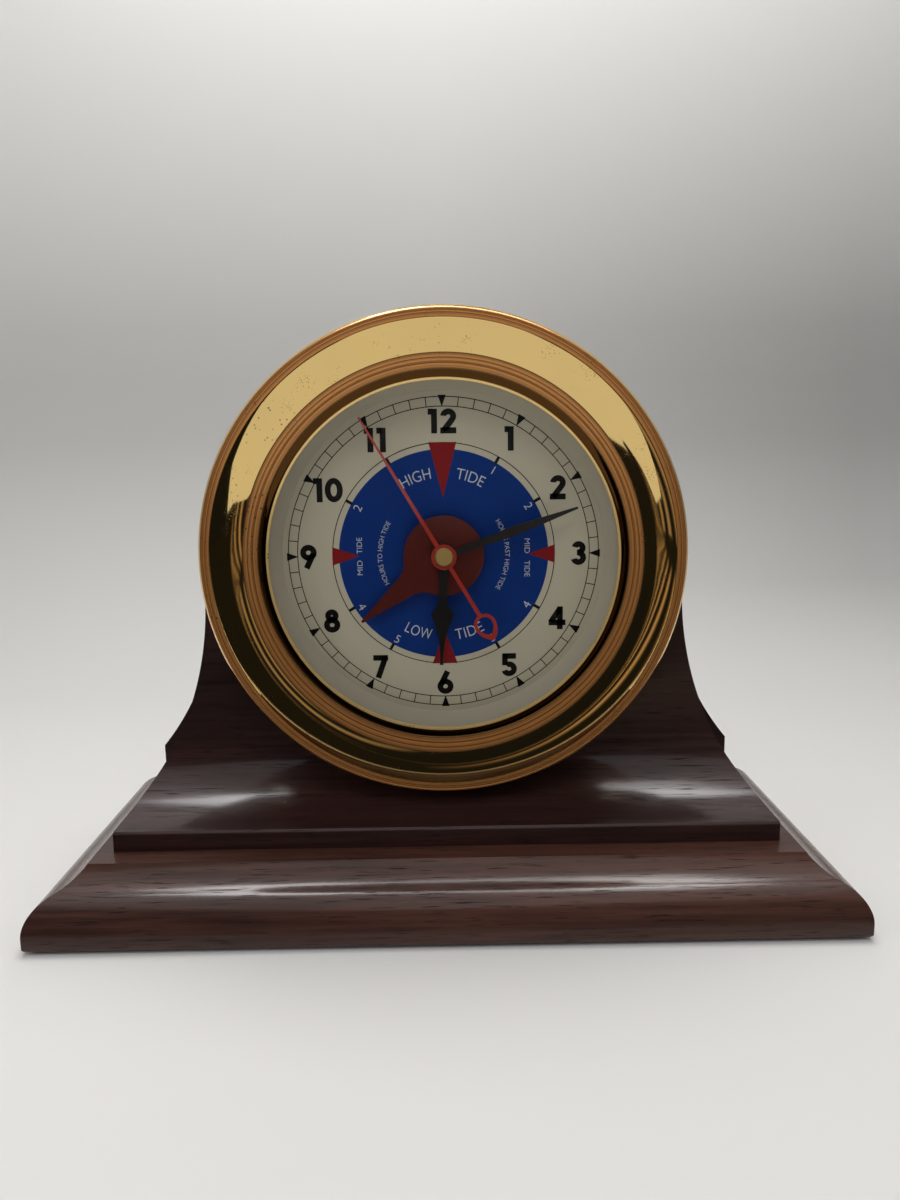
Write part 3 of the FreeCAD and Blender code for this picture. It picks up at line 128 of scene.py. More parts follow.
class BezelSettings(bpy.types.PropertyGroup):
    """The turned brass ring, its glass and the ring round the dial."""

    bore: length("Bore", "Thread bore of the skirt", 64.55)
    skirt_radius: length("Skirt radius", "Outside of the skirt", 66.8)
    skirt_back: length("Skirt back", "Height of the skirt's back edge", 2.5)
    rim_foot: length("Rim foot", "Where the rim starts to spread from the skirt", 9.0)
    rim_low: length("Rim low edge", "Height at which the rim's straight side starts", 12.0)
    rim_high: length("Rim high edge", "Height at which that side ends", 16.0)
    rim_chamfer: length("Rim chamfer", "Slope above and below that side", 0.7)
    rim_radius: length("Rim radius", "Outermost radius", 79.3)
    mill_height: length("Milling height", "How far the milled ridges stand out", 0.12)
    mill_depth: length("Milling depth", "Depth of the valleys between them", 0.22)
    groove_radius: length("Groove radius", "Inner edge of the two fine grooves", 75.3)
    groove_width: length("Groove width", "Width of one fine groove", 0.9)
    groove_depth: length("Groove depth", "Depth of the fine grooves", 0.5)
    crown_radius: length("Crown radius", "Arc of the crown's section", 11.2)
    crown_inner: length("Crown inner radius", "Where the crown ends inside", 64.8)
    crown_foot: length("Crown foot", "Height at which the crown starts", 17.5)
    step_height: length("Step height", "Height of each of the two steps", 0.6)
    step_radius: length("Step radius", "Where the second step starts", 62.2)
    hollow_outer: length("Hollow outer radius", "Outside of the hollow", 60.0)
    hollow_inner: length("Hollow inner radius", "Inside of the hollow", 57.4)
    hollow_arc: length("Hollow arc", "Radius of the hollow's section", 2.2)
    lip_radius: length("Lip radius", "Radius of the opening", 56.5)
    lip_front: length("Lip front", "Height of the lip", 16.9)
    lip_back: length("Lip back", "Height of the glass's front", 15.6)
    glass_radius: length("Glass radius", "Radius of the glass", 60.0)
    glass_thickness: length("Glass thickness", "Thickness of the glass", 2.0)
    glass_play: length("Glass play", "Room round the glass", 0.1)
    glass_recess: length("Glass recess", "Room behind the glass for its ring", 0.9)
    reflector_inner: length("Reflector inner radius", "Inside of the sloping ring", 54.0)
    reflector_outer: length("Reflector outer radius", "Outside of the slope", 58.2)
    reflector_back: length("Reflector back radius", "Outside of the ring", 60.9)
    cup_front: length("Cup front", "Height of the case's front edge", 12.0)
    mill_count: bpy.props.IntProperty(name="Milled ridges", default=420, min=60,
                                      description="Ridges round the rim's milled edge")
    brass: colour("Brass", "Polished lacquered brass", 0.86, 0.60, 0.235)
    satin: colour("Satin brass", "Browner cut brass of the steps and grooves",
                  0.58, 0.250, 0.068)
    tarnish: colour("Tarnish", "Specks where the lacquer has failed", 0.055, 0.036, 0.020)
    reflector: colour("Reflector", "Satin paint of the sloping ring", 0.60, 0.54, 0.42)


class DialSettings(bpy.types.PropertyGroup):
    """The printed dial."""

    front: length("Dial front", "Height of the printed face", 5.0)
    track_outer: length("Track outer radius", "Outer circle of the minute track", 52.0)
    track_inner: length("Track inner radius", "Inner circle of the minute track", 48.9)
    line: length("Line width", "Width of the printed lines", 0.3)
    hour_mark_inner: length("Hour mark inner radius", "Point of an hour's triangle", 49.0)
    hour_mark_outer: length("Hour mark outer radius", "Base of an hour's triangle", 52.5)
    tide_mark_outer: length("Tide mark outer radius", "Base of a tide mark", 37.3)
    numeral_circle: length("Numeral circle", "Radius on which the hour numerals stand", 44.1)
    numeral_height: length("Numeral height", "Height of the hour numerals", 7.9)
    tide_circle: length("Tide circle", "Thin circle round the blue disc", 37.2)
    sea_radius: length("Sea radius", "Radius of the blue disc", 35.1)
    card: colour("Card", "Warm white of the dial", 0.58, 0.52, 0.39)
    ink: colour("Ink", "Black print", 0.010, 0.009, 0.009)
    sea: colour("Sea", "Blue print", 0.002, 0.032, 0.205)
    mark: colour("Mark", "Red print", 0.25, 0.010, 0.012)
    letter: colour("Letter", "White print", 0.62, 0.64, 0.70)


class HandSettings(bpy.types.PropertyGroup):
    """The hands' enamels."""

    tide: colour("Tide hand", "Dark red enamel", 0.105, 0.011, 0.007)
    hour: colour("Black hands", "Black enamel", 0.011, 0.010, 0.010)
    second: colour("Second hand", "Orange red enamel", 0.42, 0.030, 0.016)


class StudioSettings(bpy.types.PropertyGroup):
    """Camera, lamps, floor and backdrop."""

    camera_place: bpy.props.FloatVectorProperty(
        name="Camera place", description="Where the camera stands", unit="LENGTH",
        default=(-0.0013, -0.30536, 0.14997))
    pitch: bpy.props.FloatProperty(name="Pitch", description="How far the camera looks down",
                                   subtype="ANGLE", default=math.radians(9.628))
    yaw: bpy.props.FloatProperty(name="Yaw", description="Turn of the camera to the left",
                                 subtype="ANGLE", default=math.radians(-0.612))
    roll: bpy.props.FloatProperty(name="Roll", description="Tilt of the camera",
                                  subtype="ANGLE", default=math.radians(-0.703))
    lens: bpy.props.FloatProperty(name="Lens", description="Focal length in millimetres",
                                  default=27.0, min=5.0)
    key: bpy.props.FloatProperty(name="Key", description="Power of the lamp overhead",
                                 subtype="POWER", default=3.6, min=0.0)
    fill: bpy.props.FloatProperty(name="Fill", description="Level of the light all round",
                                  default=0.26, min=0.0)
    paper: colour("Paper", "Floor and backdrop", 0.80, 0.785, 0.765)


SETTINGS = (("wood", WoodSettings), ("bezel", BezelSettings), ("dial", DialSettings),
            ("hands", HandSettings), ("studio", StudioSettings))


def settings(group):
    """The settings of one group of pieces in this scene."""
    return getattr(bpy.context.scene, "tide_clock_" + group)


# Outlines and surfaces


def arc(start, end, radius, side, count=24):
    """Points of a circle's arc from start to end. Its centre lies left or right of the way
    from one to the other, at the square root of radius squared less half the chord squared."""
    start, end = np.array(start, float), np.array(end, float)
    chord = end - start
    reach = np.hypot(*chord)
    out = math.sqrt(max(radius * radius - reach * reach / 4, 0.0))
    centre = (start + end) / 2 + side * out * np.array((-chord[1], chord[0])) / reach
    first = math.atan2(*(start - centre)[::-1])
    sweep = 2 * math.asin(min(1.0, reach / (2 * radius))) * side
    angle = first + sweep * np.linspace(0, 1, count)
    return centre + radius * np.stack([np.cos(angle), np.sin(angle)], 1)


def rounded(before, corner, after, cut, count=4):
    """A corner eased by a parabola that starts and ends a cut's length away from it."""
    before, corner, after = (np.array(p[:2], float) for p in (before, corner, after))
    back, on = before - corner, after - corner
    back *= min(cut / np.hypot(*back), 0.45)
    on *= min(cut / np.hypot(*on), 0.45)
    share = np.linspace(0, 1, count)[:, None]
    return corner + back * (1 - share) ** 2 + on * share ** 2


def outline(corners, cut=0.0, count=24, closed=True):
    """A line through corners. A corner with a radius and a side starts an arc to the next
    one, and the plain corners between straight runs are eased by the cut."""
    pieces = []
    total = len(corners)
    for index, corner in enumerate(corners):
        after = corners[(index + 1) % total]
        before = corners[index - 1]
        last = not closed and index == total - 1
        if len(corner) == 4 and not last:
            pieces.append(arc(corner[:2], after[:2], corner[2], corner[3], count)[:-1])
        elif cut and len(before) == 2 and (closed or 0 < index < total - 1):
            pieces.append(rounded(before, corner, after, cut))
        else:
            pieces.append(np.array([corner[:2]], float))
    return np.concatenate(pieces)


def ring(radius, x=0.0, z=0.0, count=160):
    """A circle: cosine and sine of equal steps round a centre."""
    angle = np.arange(count) * 2 * math.pi / count
    return np.stack([x + radius * np.cos(angle), z + radius * np.sin(angle)], 1)


def layer(line, depth):
    """An upright flat line in space at a depth, one for all its points or one for each."""
    return np.stack([line[:, 0], depth + 0 * line[:, 0], line[:, 1]], 1)


def quads(rows, columns, wrap_rows=False, wrap_columns=False, first=0):
    """Faces of a grid whose points are numbered row by row from first."""
    row = np.arange(rows if wrap_rows else rows - 1)[:, None]
    column = np.arange(columns if wrap_columns else columns - 1)[None, :]
    row_on, column_on = (row + 1) % rows, (column + 1) % columns
    corners = (row * columns + column, row * columns + column_on,
               row_on * columns + column_on, row_on * columns + column)
    return first + np.stack(np.broadcast_arrays(*corners), -1).reshape(-1, 4)


def fill(loops):
    """Triangles that fill the first loop and leave the others open, as point numbers over
    all the loops one after another."""
    flat = [[Vector((float(u), float(v), 0.0)) for u, v in loop] for loop in loops]
    return [list(triangle) for triangle in tessellate_polygon(flat)]


def solid(name, points, faces, material, body, replaced=(), slot=None, sharp=35.0, weld=True):
    """A mesh piece at the origin. Its points are welded, its faces turned outwards, and
    edges sharper than the angle stay crisp."""
    mesh = bpy.data.meshes.new(name)
    mesh.from_pydata(np.asarray(points, float).reshape(-1, 3).tolist(), [],
                     [list(map(int, face)) for face in faces])
    if weld:
        work = bmesh.new()
        work.from_mesh(mesh)
        bmesh.ops.remove_doubles(work, verts=work.verts, dist=1e-7)
        bmesh.ops.dissolve_degenerate(work, edges=work.edges, dist=1e-8)
        bmesh.ops.recalc_face_normals(work, faces=work.faces)
        work.to_mesh(mesh)
        work.free()
    mesh.shade_smooth()
    mesh.set_sharp_from_angle(angle=math.radians(sharp))
    mesh.materials.append(material)
    piece = linked(name, mesh)
    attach(piece, body)
    if replaced:
        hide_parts(*replaced)
    return piece


def linked(name, data):
    """An object for some data, linked to the scene."""
    holder = bpy.data.objects.new(name, data)
    bpy.context.scene.collection.objects.link(holder)
    return holder


def ease_edges(piece, width, angle=60.0, segments=3):
    """Round every edge sharper than the angle with a live bevel."""
    bevel = piece.modifiers.new("Eased edges", "BEVEL")
    bevel.width = width
    bevel.segments = segments
    bevel.limit_method = "ANGLE"
    bevel.angle_limit = math.radians(angle)
    bevel.harden_normals = True
    return piece


def turned(profile, steps):
    """A section carried round the clock's axis: x is radius times cosine, height is the
    axis plus radius times sine, and y is the section's height turned about."""
    axis = settings("wood").axis_height
    angle = np.arange(steps) * 2 * math.pi / steps
    radius, height = profile[:, :1], profile[:, 1:]
    return np.stack([radius * np.cos(angle), -height + 0 * angle,
                     axis + radius * np.sin(angle)], -1)


def turned_piece(name, profile, steps, *rest, closed=True, **options):
    """A closed section turned into a ring, or an open one that starts and ends on the axis
    turned into a disc."""
    faces = quads(len(profile), steps, closed, True)
    return solid(name, turned(profile, steps), faces, *rest, **options)


# Finishes


class Value:
    """A value in a material. Sums with it add Math nodes."""

    def __init__(self, finish, socket):
        self.finish, self.socket = finish, socket

    def math(self, operation, *others):
        """One Math node on this value and others."""
        node = self.finish.node("ShaderNodeMath", {"operation": operation},
                                dict(enumerate((self, *others))))
        return Value(self.finish, node.outputs[0])

    def __add__(self, other):
        return self.math("ADD", other)

    def __sub__(self, other):
        return self.math("SUBTRACT", other)

    def __rsub__(self, other):
        return (self * -1.0) + other

    def __mul__(self, other):
        return self.math("MULTIPLY", other)

    def __pow__(self, other):
        return self.math("POWER", other)

    def above(self, edge, soft):
        """0 below edge - soft and 1 above edge + soft, with a straight run between."""
        return (((self - (edge - soft)) * (0.5 / soft)).math("MAXIMUM", 0.0)
                .math("MINIMUM", 1.0))

    def within(self, low, low_soft, high, high_soft):
        """1 between two edges and 0 outside them."""
        return self.above(low, low_soft) * (1.0 - self.above(high, high_soft))

    def wave(self):
        """A sine wave from 0 to 1."""
        return self.math("SINE") * 0.5 + 0.5

    def held(self):
        """The value kept between 0 and 1."""
        return self.math("MAXIMUM", 0.0).math("MINIMUM", 1.0)


class Finish:
    """A node material being written: its tree and its main shader."""

    def __init__(self, name, tree=None):
        self.material = None
        if tree is None:
            self.material = bpy.data.materials.new(name)
            self.material.use_nodes = True
            tree = self.material.node_tree
        self.tree = tree
        self.tree.nodes.clear()

    def node(self, kind, options=None, inputs=None):
        """Add a node of a kind, set its options first, then its inputs by name or number."""
        node = self.tree.nodes.new(kind)
        for key, value in (options or {}).items():
            if key == "stops":
                ramp = node.color_ramp
                while len(ramp.elements) < len(value):
                    ramp.elements.new(1.0)
                for element, (place, tone) in zip(ramp.elements, value):
                    element.position = place
                    element.color = (*tone, 1.0)
            else:
                setattr(node, key, value)
        for key, value in (inputs or {}).items():
            if isinstance(value, Value):
                value = value.socket
            if isinstance(value, bpy.types.NodeSocket):
                self.tree.links.new(value, node.inputs[key])
            elif value is not None:
                if isinstance(value, (tuple, list)) and node.inputs[key].type == "RGBA":
                    value = (*value, 1.0)[:4]
                node.inputs[key].default_value = value
        return node

    def place(self, *stretch):
        """Object coordinates, each multiplied by its own factor."""
        where = self.node("ShaderNodeTexCoord").outputs["Object"]
        if not stretch:
            return where
        return self.node("ShaderNodeVectorMath", {"operation": "MULTIPLY"},
                         {0: where, 1: stretch}).outputs[0]

    def parts(self, vector=None):
        """The three parts of a vector, or of the object coordinates, as values."""
        node = self.node("ShaderNodeSeparateXYZ", None, {0: vector or self.place()})
        return [Value(self, socket) for socket in node.outputs]

    def noise(self, scale=1.0, detail=2.0, rough=0.5, bend=0.0, where=None):
        """Soft noise from 0 to 1, on object coordinates where nothing else is given."""
        node = self.node("ShaderNodeTexNoise", None,
                         {"Vector": where or self.place(), "Scale": scale, "Detail": detail,
                          "Roughness": rough, "Distortion": bend})
        return Value(self, node.outputs[0])

    def cells(self, scale):
        """Distance to the nearest of scattered points."""
        node = self.node("ShaderNodeTexVoronoi", None,
                         {"Vector": self.place(), "Scale": scale, "Randomness": 1.0})
        return Value(self, node.outputs["Distance"])

    def ray(self, kind):
        """1 where the surface is seen by one kind of ray."""
        return Value(self, self.node("ShaderNodeLightPath").outputs[f"Is {kind} Ray"])

    def mix(self, share, first, second):
        """From the first colour to the second by a share."""
        return self.node("ShaderNodeMix", {"data_type": "RGBA"},
                         {0: share, 6: first, 7: second}).outputs[2]

    def varied(self, share, tone, low, high):
        """From a tone times low to the same tone times high by a share."""
        return self.mix(share, lighter(tone, low), lighter(tone, high))

    def blend(self, share, first, second):
        """From the first shader to the second by a share."""
        return self.node("ShaderNodeMixShader", None,
                         {0: share, 1: first, 2: second}).outputs[0]

    def bump(self, height, strength, distance):
        """A normal from a height."""
        return self.node("ShaderNodeBump", None, {"Height": height, "Strength": strength,
                                                  "Distance": distance}).outputs[0]

    def done(self, **sockets):
        """Close with the main shader, whose sockets are named with underscores for spaces."""
        inputs = {key.replace("_", " "): value for key, value in sockets.items()}
        shader = self.node("ShaderNodeBsdfPrincipled", None, inputs)
        self.surface(shader.outputs[0])
        return self.material

    def surface(self, shader):
        """Send a shader to the output."""
        self.node("ShaderNodeOutputMaterial", None, {"Surface": shader})
        return self.material


def lighter(tone, factor):
    """A colour multiplied by a factor and kept within range."""
    return tuple(min(1.0, part * factor) for part in tone)


def mahogany(name, tone, seed):
    """Stained mahogany along x: broad ribbons, fine fibres and short dark pores under a
    satin varnish. Each is noise stretched along the grain."""
    wood = settings("wood")
    finish = Finish(name)
    shifted = finish.node("ShaderNodeVectorMath", {"operation": "ADD"},
                          {0: finish.place(), 1: (seed, seed * 0.37, seed * 0.61)}).outputs[0]

    def along(*stretch):
        return finish.node("ShaderNodeVectorMath", {"operation": "MULTIPLY"},
                           {0: shifted, 1: stretch}).outputs[0]

    ribbon = finish.noise(1.0, 3, 0.5, 0.6, along(7, 34, 34))
    fibre = finish.noise(1.0, 4, 0.6, where=along(26, 620, 620))
    streak = finish.noise(1.0, 3, 0.55, 0.2, along(11, 190, 190))
    pores = finish.noise(1.0, 2, where=along(95, 2300, 2300)).above(0.645, 0.03)
    depth = (ribbon * 0.8 + streak * 0.55 + fibre * 0.95 - 0.68).held()
    body = finish.mix(depth, tuple(wood.dark), lighter(tone, 1.8))
    coloured = finish.mix(pores * 0.7, body, lighter(wood.dark, 0.55))
    height = fibre * 0.5 - pores * 1.2 + finish.noise(900, 2) * 0.35
    return finish.done(
        Base_Color=coloured, Roughness=(fibre * 0.14 + 0.34 + pores * 0.2),
        Coat_Weight=(0.70 - pores * 0.5 - fibre * 0.15), Coat_Roughness=0.15, Coat_IOR=1.5,
        Specular_IOR_Level=0.2, Normal=finish.bump(height, 0.6, 0.00009))


def felt(name):
    """Dark baize: tangled fibres from two noises, with a soft sheen."""
    finish = Finish(name)
    fuzz = finish.noise(2600, 3, 0.7)
    tufts = finish.noise(420, 3, 0.6)
    tone = finish.mix((fuzz * 0.7 + tufts * 0.5 - 0.1).held(), (0.010, 0.016, 0.012),
                      (0.034, 0.050, 0.038))
    return finish.done(Base_Color=tone, Roughness=0.95, Sheen_Weight=0.3,
                       Normal=finish.bump(fuzz + tufts * 0.6, 0.7, 0.0002))


def polished_brass(name, tone, rough, specks=0.0, turning=0.0, zones=False):
    """Lacquered brass: cloudy polish, faint waves, dark specks where the lacquer failed,
    and fine marks of the lathe as rings round the clock's axis. On the bezel the steps and
    the grooves keep a browner satin cut, told apart by their radius, while the hollow and
    thin lines at the fine grooves are darkened with painted shade."""
    bezel = settings("bezel")
    finish = Finish(name)
    cloud = finish.noise(45, 3)
    haze = finish.noise(380, 3, 0.6)
    tint = finish.varied(cloud, tone, 0.95, 1.04)
    roughness = haze * (rough * 0.5) + rough * 0.75
    height = cloud
    metal = 1.0
    x, _, z = finish.parts()
    up = z - settings("wood").axis_height
    radius = (x * x + up * up) ** 0.5
    if zones:
        satin = (radius.within(*SATIN_GROOVES) + radius.within(*SATIN_STEPS)).held()
        line = (radius * LINE_PITCH).wave()
        cut = finish.mix(line * 0.45, tuple(bezel.satin), lighter(bezel.satin, 0.35))
        tint = finish.mix(satin, tint, cut)
        # Painted shade: the hollow is darkened to a dark brown
        tint = finish.mix(radius.within(*HOLLOW_SHADE_BAND), tint, lighter(bezel.satin, 0.15))
        # Painted shade: thin dark lines at the fine grooves stand in for the shadow inside
        # them
        groove_shade = 0.0
        for place in GROOVE_SHADE_RADII:
            away = (radius - place).math("ABSOLUTE")
            groove_shade = (away * (-1.0 / GROOVE_SHADE_HALF) + 1.0).math("MAXIMUM", 0.0) + groove_shade
        tint = finish.mix((groove_shade * 0.9).held(), tint, lighter(bezel.satin, 0.10))
        roughness = roughness + satin * (line * 0.10 + 0.34)
        lip = 1.0 - radius.above(*LIP_EDGE)
        sparkle = finish.noise(1900, 2, 0.7)
        roughness = roughness + lip * (sparkle * 0.5 + 0.1)
        metal = 1.0 - satin * 0.45 - lip * 0.4
    if turning:
        rings = (radius * turning).wave()
        roughness = roughness + rings * rough * 0.4
        height = height + rings * 0.03
    if specks:
        patch = finish.noise(26, 2).above(0.66, 0.04)
        dots = 1.0 - finish.cells(560).above(0.16, 0.05)
        grain = 1.0 - finish.cells(1500).above(0.24, 0.08)
        fine = finish.noise(120, 2).above(0.62, 0.05)
        spots = (dots * patch + grain * fine * 0.8).held() * specks
        tint = finish.mix(spots, tint, tuple(bezel.tarnish))
        roughness = roughness + spots * 0.4
        height = height - spots * 0.05
    return finish.done(Base_Color=tint, Metallic=metal, Roughness=roughness,
                       Normal=finish.bump(height, 0.12, 0.0005))


def plain_metal(name, tone, rough):
    """Rolled or turned metal: fine scratches of stretched noise and a cloudy tint."""
    finish = Finish(name)
    scratch = finish.noise(1.0, 3, 0.6, where=finish.place(300, 4000, 900))
    cloud = finish.noise(160, 2)
    tint = finish.varied(cloud, tone, 0.82, 1.1)
    return finish.done(Base_Color=tint, Metallic=1.0, Roughness=scratch * 0.18 + rough,
                       Normal=finish.bump(scratch, 0.15, 0.00003))


def skinned(name, tone, rough, grain, cloud, shares, spread, gain, relief, **more):
    """A painted, printed or moulded skin. A fine grain roughens and lifts it, and grain and
    clouds together vary its tone, each by its share, between the two factors of spread."""
    finish = Finish(name)
    fine, broad = finish.noise(*grain), finish.noise(*cloud)
    tint = finish.varied(fine * shares[0] + broad * shares[1], tone, *spread)
    return finish.done(Base_Color=tint, Roughness=fine * gain + rough,
                       Normal=finish.bump(fine, *relief), **more)


def moulded(name, tone, rough, texture=0.4, soft=0.0):
    """Moulded plastic or rubber: the spark-eroded texture of its mould and slight clouding."""
    return skinned(name, tone, rough, (3200, 3, 0.6), (90, 2), (0.2, 0.8), (0.86, 1.12), 0.16,
                   (texture, 0.00004), Subsurface_Weight=soft, Subsurface_Scale=0.001)


def enamel(name, tone, rough=0.22):
    """Stoved enamel on a stamped hand: orange-peel skin, a little pooling of the colour."""
    return skinned(name, tone, rough, (700, 2), (130, 3), (0.0, 1.0), (0.93, 1.07), 0.06,
                   (0.08, 0.00002), Coat_Weight=0.3, Coat_Roughness=0.12)


def dial_card(name, tone, rough=0.5):
    """Painted dial: faint mottling and a fine satin grain."""
    return skinned(name, tone, rough, (5200, 2), (55, 4, 0.6), (0.3, 0.7), (0.94, 1.05), 0.1,
                   (0.12, 0.00002))


def print_ink(name, tone, rough=0.42):
    """Screen-printed ink: the mesh's slight unevenness, with little gloss."""
    return skinned(name, tone, rough, (2400, 2, 0.6), (70, 3), (0.4, 0.6), (0.88, 1.12), 0.12,
                   (0.1, 0.00002), Specular_IOR_Level=0.12)


def window_glass(name):
    """Thin clear glass: see-through, with gloss that grows towards the edge of view."""
    finish = Finish(name)
    smear = finish.noise(60, 3)
    gloss = finish.node("ShaderNodeBsdfPrincipled", None,
                        {"Base Color": (0.02, 0.021, 0.021),
                         "Roughness": smear * 0.03 + 0.02})
    clear = finish.node("ShaderNodeBsdfTransparent", None, {0: (0.985, 0.99, 0.985)})
    edge = Value(finish, finish.node("ShaderNodeLayerWeight", None,
                                     {"Blend": 0.12}).outputs["Fresnel"])
    share = (edge * 0.8 + smear * 0.006).held()
    return finish.surface(finish.blend(share, clear.outputs[0], gloss.outputs[0]))


def cell_sleeve(name):
    """Plain battery sleeve: a dark body, a copper band at one end, without any lettering."""
    finish = Finish(name)
    x = finish.parts()[0]
    band = x.above(0.011, 0.0003)
    scuff = finish.noise(1.0, 3, where=finish.place(400, 90, 90))
    tone = finish.mix(band, (0.014, 0.014, 0.016), (0.42, 0.20, 0.085))
    worn = finish.mix(scuff.above(0.66, 0.06) * 0.3, tone, (0.25, 0.25, 0.26))
    return finish.done(Base_Color=worn, Metallic=band * 0.7 + 0.1,
                       Roughness=scuff * 0.2 + 0.22)


def wound_copper(name):
    """Fine enamelled wire: close turns across the coil as a wave along x."""
    finish = Finish(name)
    x = finish.parts()[0]
    turns = (x * 31400.0).wave()
    cloud = finish.noise(300, 2)
    tone = finish.mix(turns * 0.6 + cloud * 0.4, (0.30, 0.085, 0.03), (0.72, 0.30, 0.12))
    return finish.done(Base_Color=tone, Metallic=0.9, Roughness=cloud * 0.2 + 0.25,
                       Normal=finish.bump(turns, 0.5, 0.00006))


def laminate(name):
    """Green circuit board: woven glass under the mask."""
    finish = Finish(name)
    x, _, z = finish.parts(finish.place(4200, 4200, 4200))
    weave = x.math("SINE") * z.math("SINE") * 0.5 + 0.5
    tone = finish.mix(weave, (0.012, 0.075, 0.028), (0.020, 0.12, 0.045))
    return finish.done(Base_Color=tone, Roughness=weave * 0.1 + 0.35,
                       Normal=finish.bump(weave, 0.2, 0.00003))


def dress(material, *nodes):
    """Give a finish to nodes whose shape stays as the frame has it."""
    for node in nodes:
        for place in NODES[node].material_slots:
            place.material = material


# The mahogany base


def half_width(half, low, arch, top, height):
    """Half the width of a flared outline at a height: straight up to low, then a hollow arc
    that meets the arch's radius upright at top."""
    run, rise = half - arch, top - low
    radius = (run * run + rise * rise) / (2 * run)
    up = np.clip((top - height) / radius, 0, 1)
    sweep = arch + radius - radius * np.sqrt(1 - up * up)
    return np.where(height <= low, half, sweep)


def flared_loop(half, low, arch, top, heights):
    """Outline from the bottom right corner up the hollow side, over the arch and down."""
    right = np.stack([half_width(half, low, arch, top, heights), heights], 1)
    angle = np.linspace(0, math.pi, 122)[1:-1]
    crown = np.stack([arch * np.cos(angle), top + arch * np.sin(angle)], 1)
    left = right[::-1] * (-1, 1)
    return np.concatenate([right, crown, left])


def make_plinth():
    """Moulded board: the ogee's points, each an inset and a height, carried round the front
    and both ends, whose corners move in by the inset. The back stays flat."""
    wood = settings("wood")
    edge, top = wood.plinth_bottom, wood.plinth_top
    section = outline([
        (wood.arris, edge), (0.0, edge + wood.arris),
        (0.0, edge + wood.nose_height, wood.nose_arc, RIGHT),
        (wood.ogee_inset, edge + wood.ogee_height, wood.ogee_arc, LEFT),
        (wood.top_inset, top),
    ], 0.25 * MM, 30, closed=False)
    inset, height = section[:, :1], section[:, 1:]
    half, deep = wood.plinth_width / 2, wood.plinth_depth / 2
    x = np.concatenate([-half + inset, -half + inset, half - inset, half - inset], 1)
    y = np.concatenate([deep + 0 * inset, -deep + inset, -deep + inset, deep + 0 * inset], 1)
    points = np.stack([x, y, np.repeat(height, 4, 1)], -1)
    rows = len(section)
    faces = list(quads(rows, 4, False, True))
    faces += [range(4), range(4 * rows - 4, 4 * rows)]
    piece = solid("moulded_plinth", points, faces,
                  mahogany("Plinth mahogany", tuple(wood.plinth_tone), 0.0),
                  "clock", ["plinth"], "mahogany", sharp=28)
    return ease_edges(piece, wood.edge_round)


def make_saddle_block():
    """Coved block: the flared outline gives half the width at each height, the cove gives
    the front, and the case's bore passes through."""
    wood = settings("wood")
    low = wood.plinth_top + wood.block_edge
    run, sweep = wood.cove_run - wood.arris, wood.cove_sweep
    past = sweep - wood.cove_rise
    turn = (sweep * sweep - run * run - past * past) / (2 * (sweep - run))
    share = sweep / (sweep - turn)
    cove = outline([
        (-wood.cove_run, wood.plinth_top), (-wood.cove_run, low - wood.arris),
        (-wood.cove_run + wood.arris, low, sweep, LEFT),
        (-wood.cove_run + wood.arris + (run - turn) * share, low + sweep - past * share,
         turn, LEFT),
        (0.0, low + wood.cove_rise),
    ], 0.3 * MM, 34, closed=False)
    heights = np.concatenate([cove[:, 1], np.linspace(
        low + wood.cove_rise, wood.arch_height, 40)[1:]])
    front = np.concatenate([cove[:, 0], np.zeros(39)])
    half = wood.block_width / 2
    loop = flared_loop(half, low, wood.arch_radius, wood.arch_height, heights)
    front = np.concatenate([front, np.zeros(120), front[::-1]])
    bore = ring(wood.bore_radius, 0, wood.axis_height)

    count, low_rows = len(loop), len(cove)
    points = np.concatenate([layer(loop, front), layer(bore, 0.0),
                             layer(loop, wood.block_back), layer(bore, wood.block_back)])
    behind = count + len(bore)
    step = np.arange(count)
    faces = list(np.stack([step, (step + 1) % count, behind + (step + 1) % count,
                           behind + step], 1))
    step = np.arange(len(bore))
    on = (step + 1) % len(bore)
    faces += list(np.stack([count + on, count + step, behind + count + step,
                            behind + count + on], 1))
    row = np.arange(low_rows - 1)
    faces += list(np.stack([row, row + 1, count - 2 - row, count - 1 - row], 1))
    upper = np.arange(low_rows - 1, count - low_rows + 1)
    numbers = np.concatenate([upper, count + np.arange(len(bore))])
    faces += [numbers[list(face)] for face in fill([loop[upper], bore])]
    numbers = behind + np.arange(count + len(bore))
    faces += [numbers[list(face)] for face in fill([loop, bore])]
    piece = solid("coved_block", points, faces,
                  mahogany("Block mahogany", tuple(wood.block_tone), 3.1),
                  "clock", ["saddle_block"], "mahogany", sharp=28)
    return ease_edges(piece, wood.edge_round)


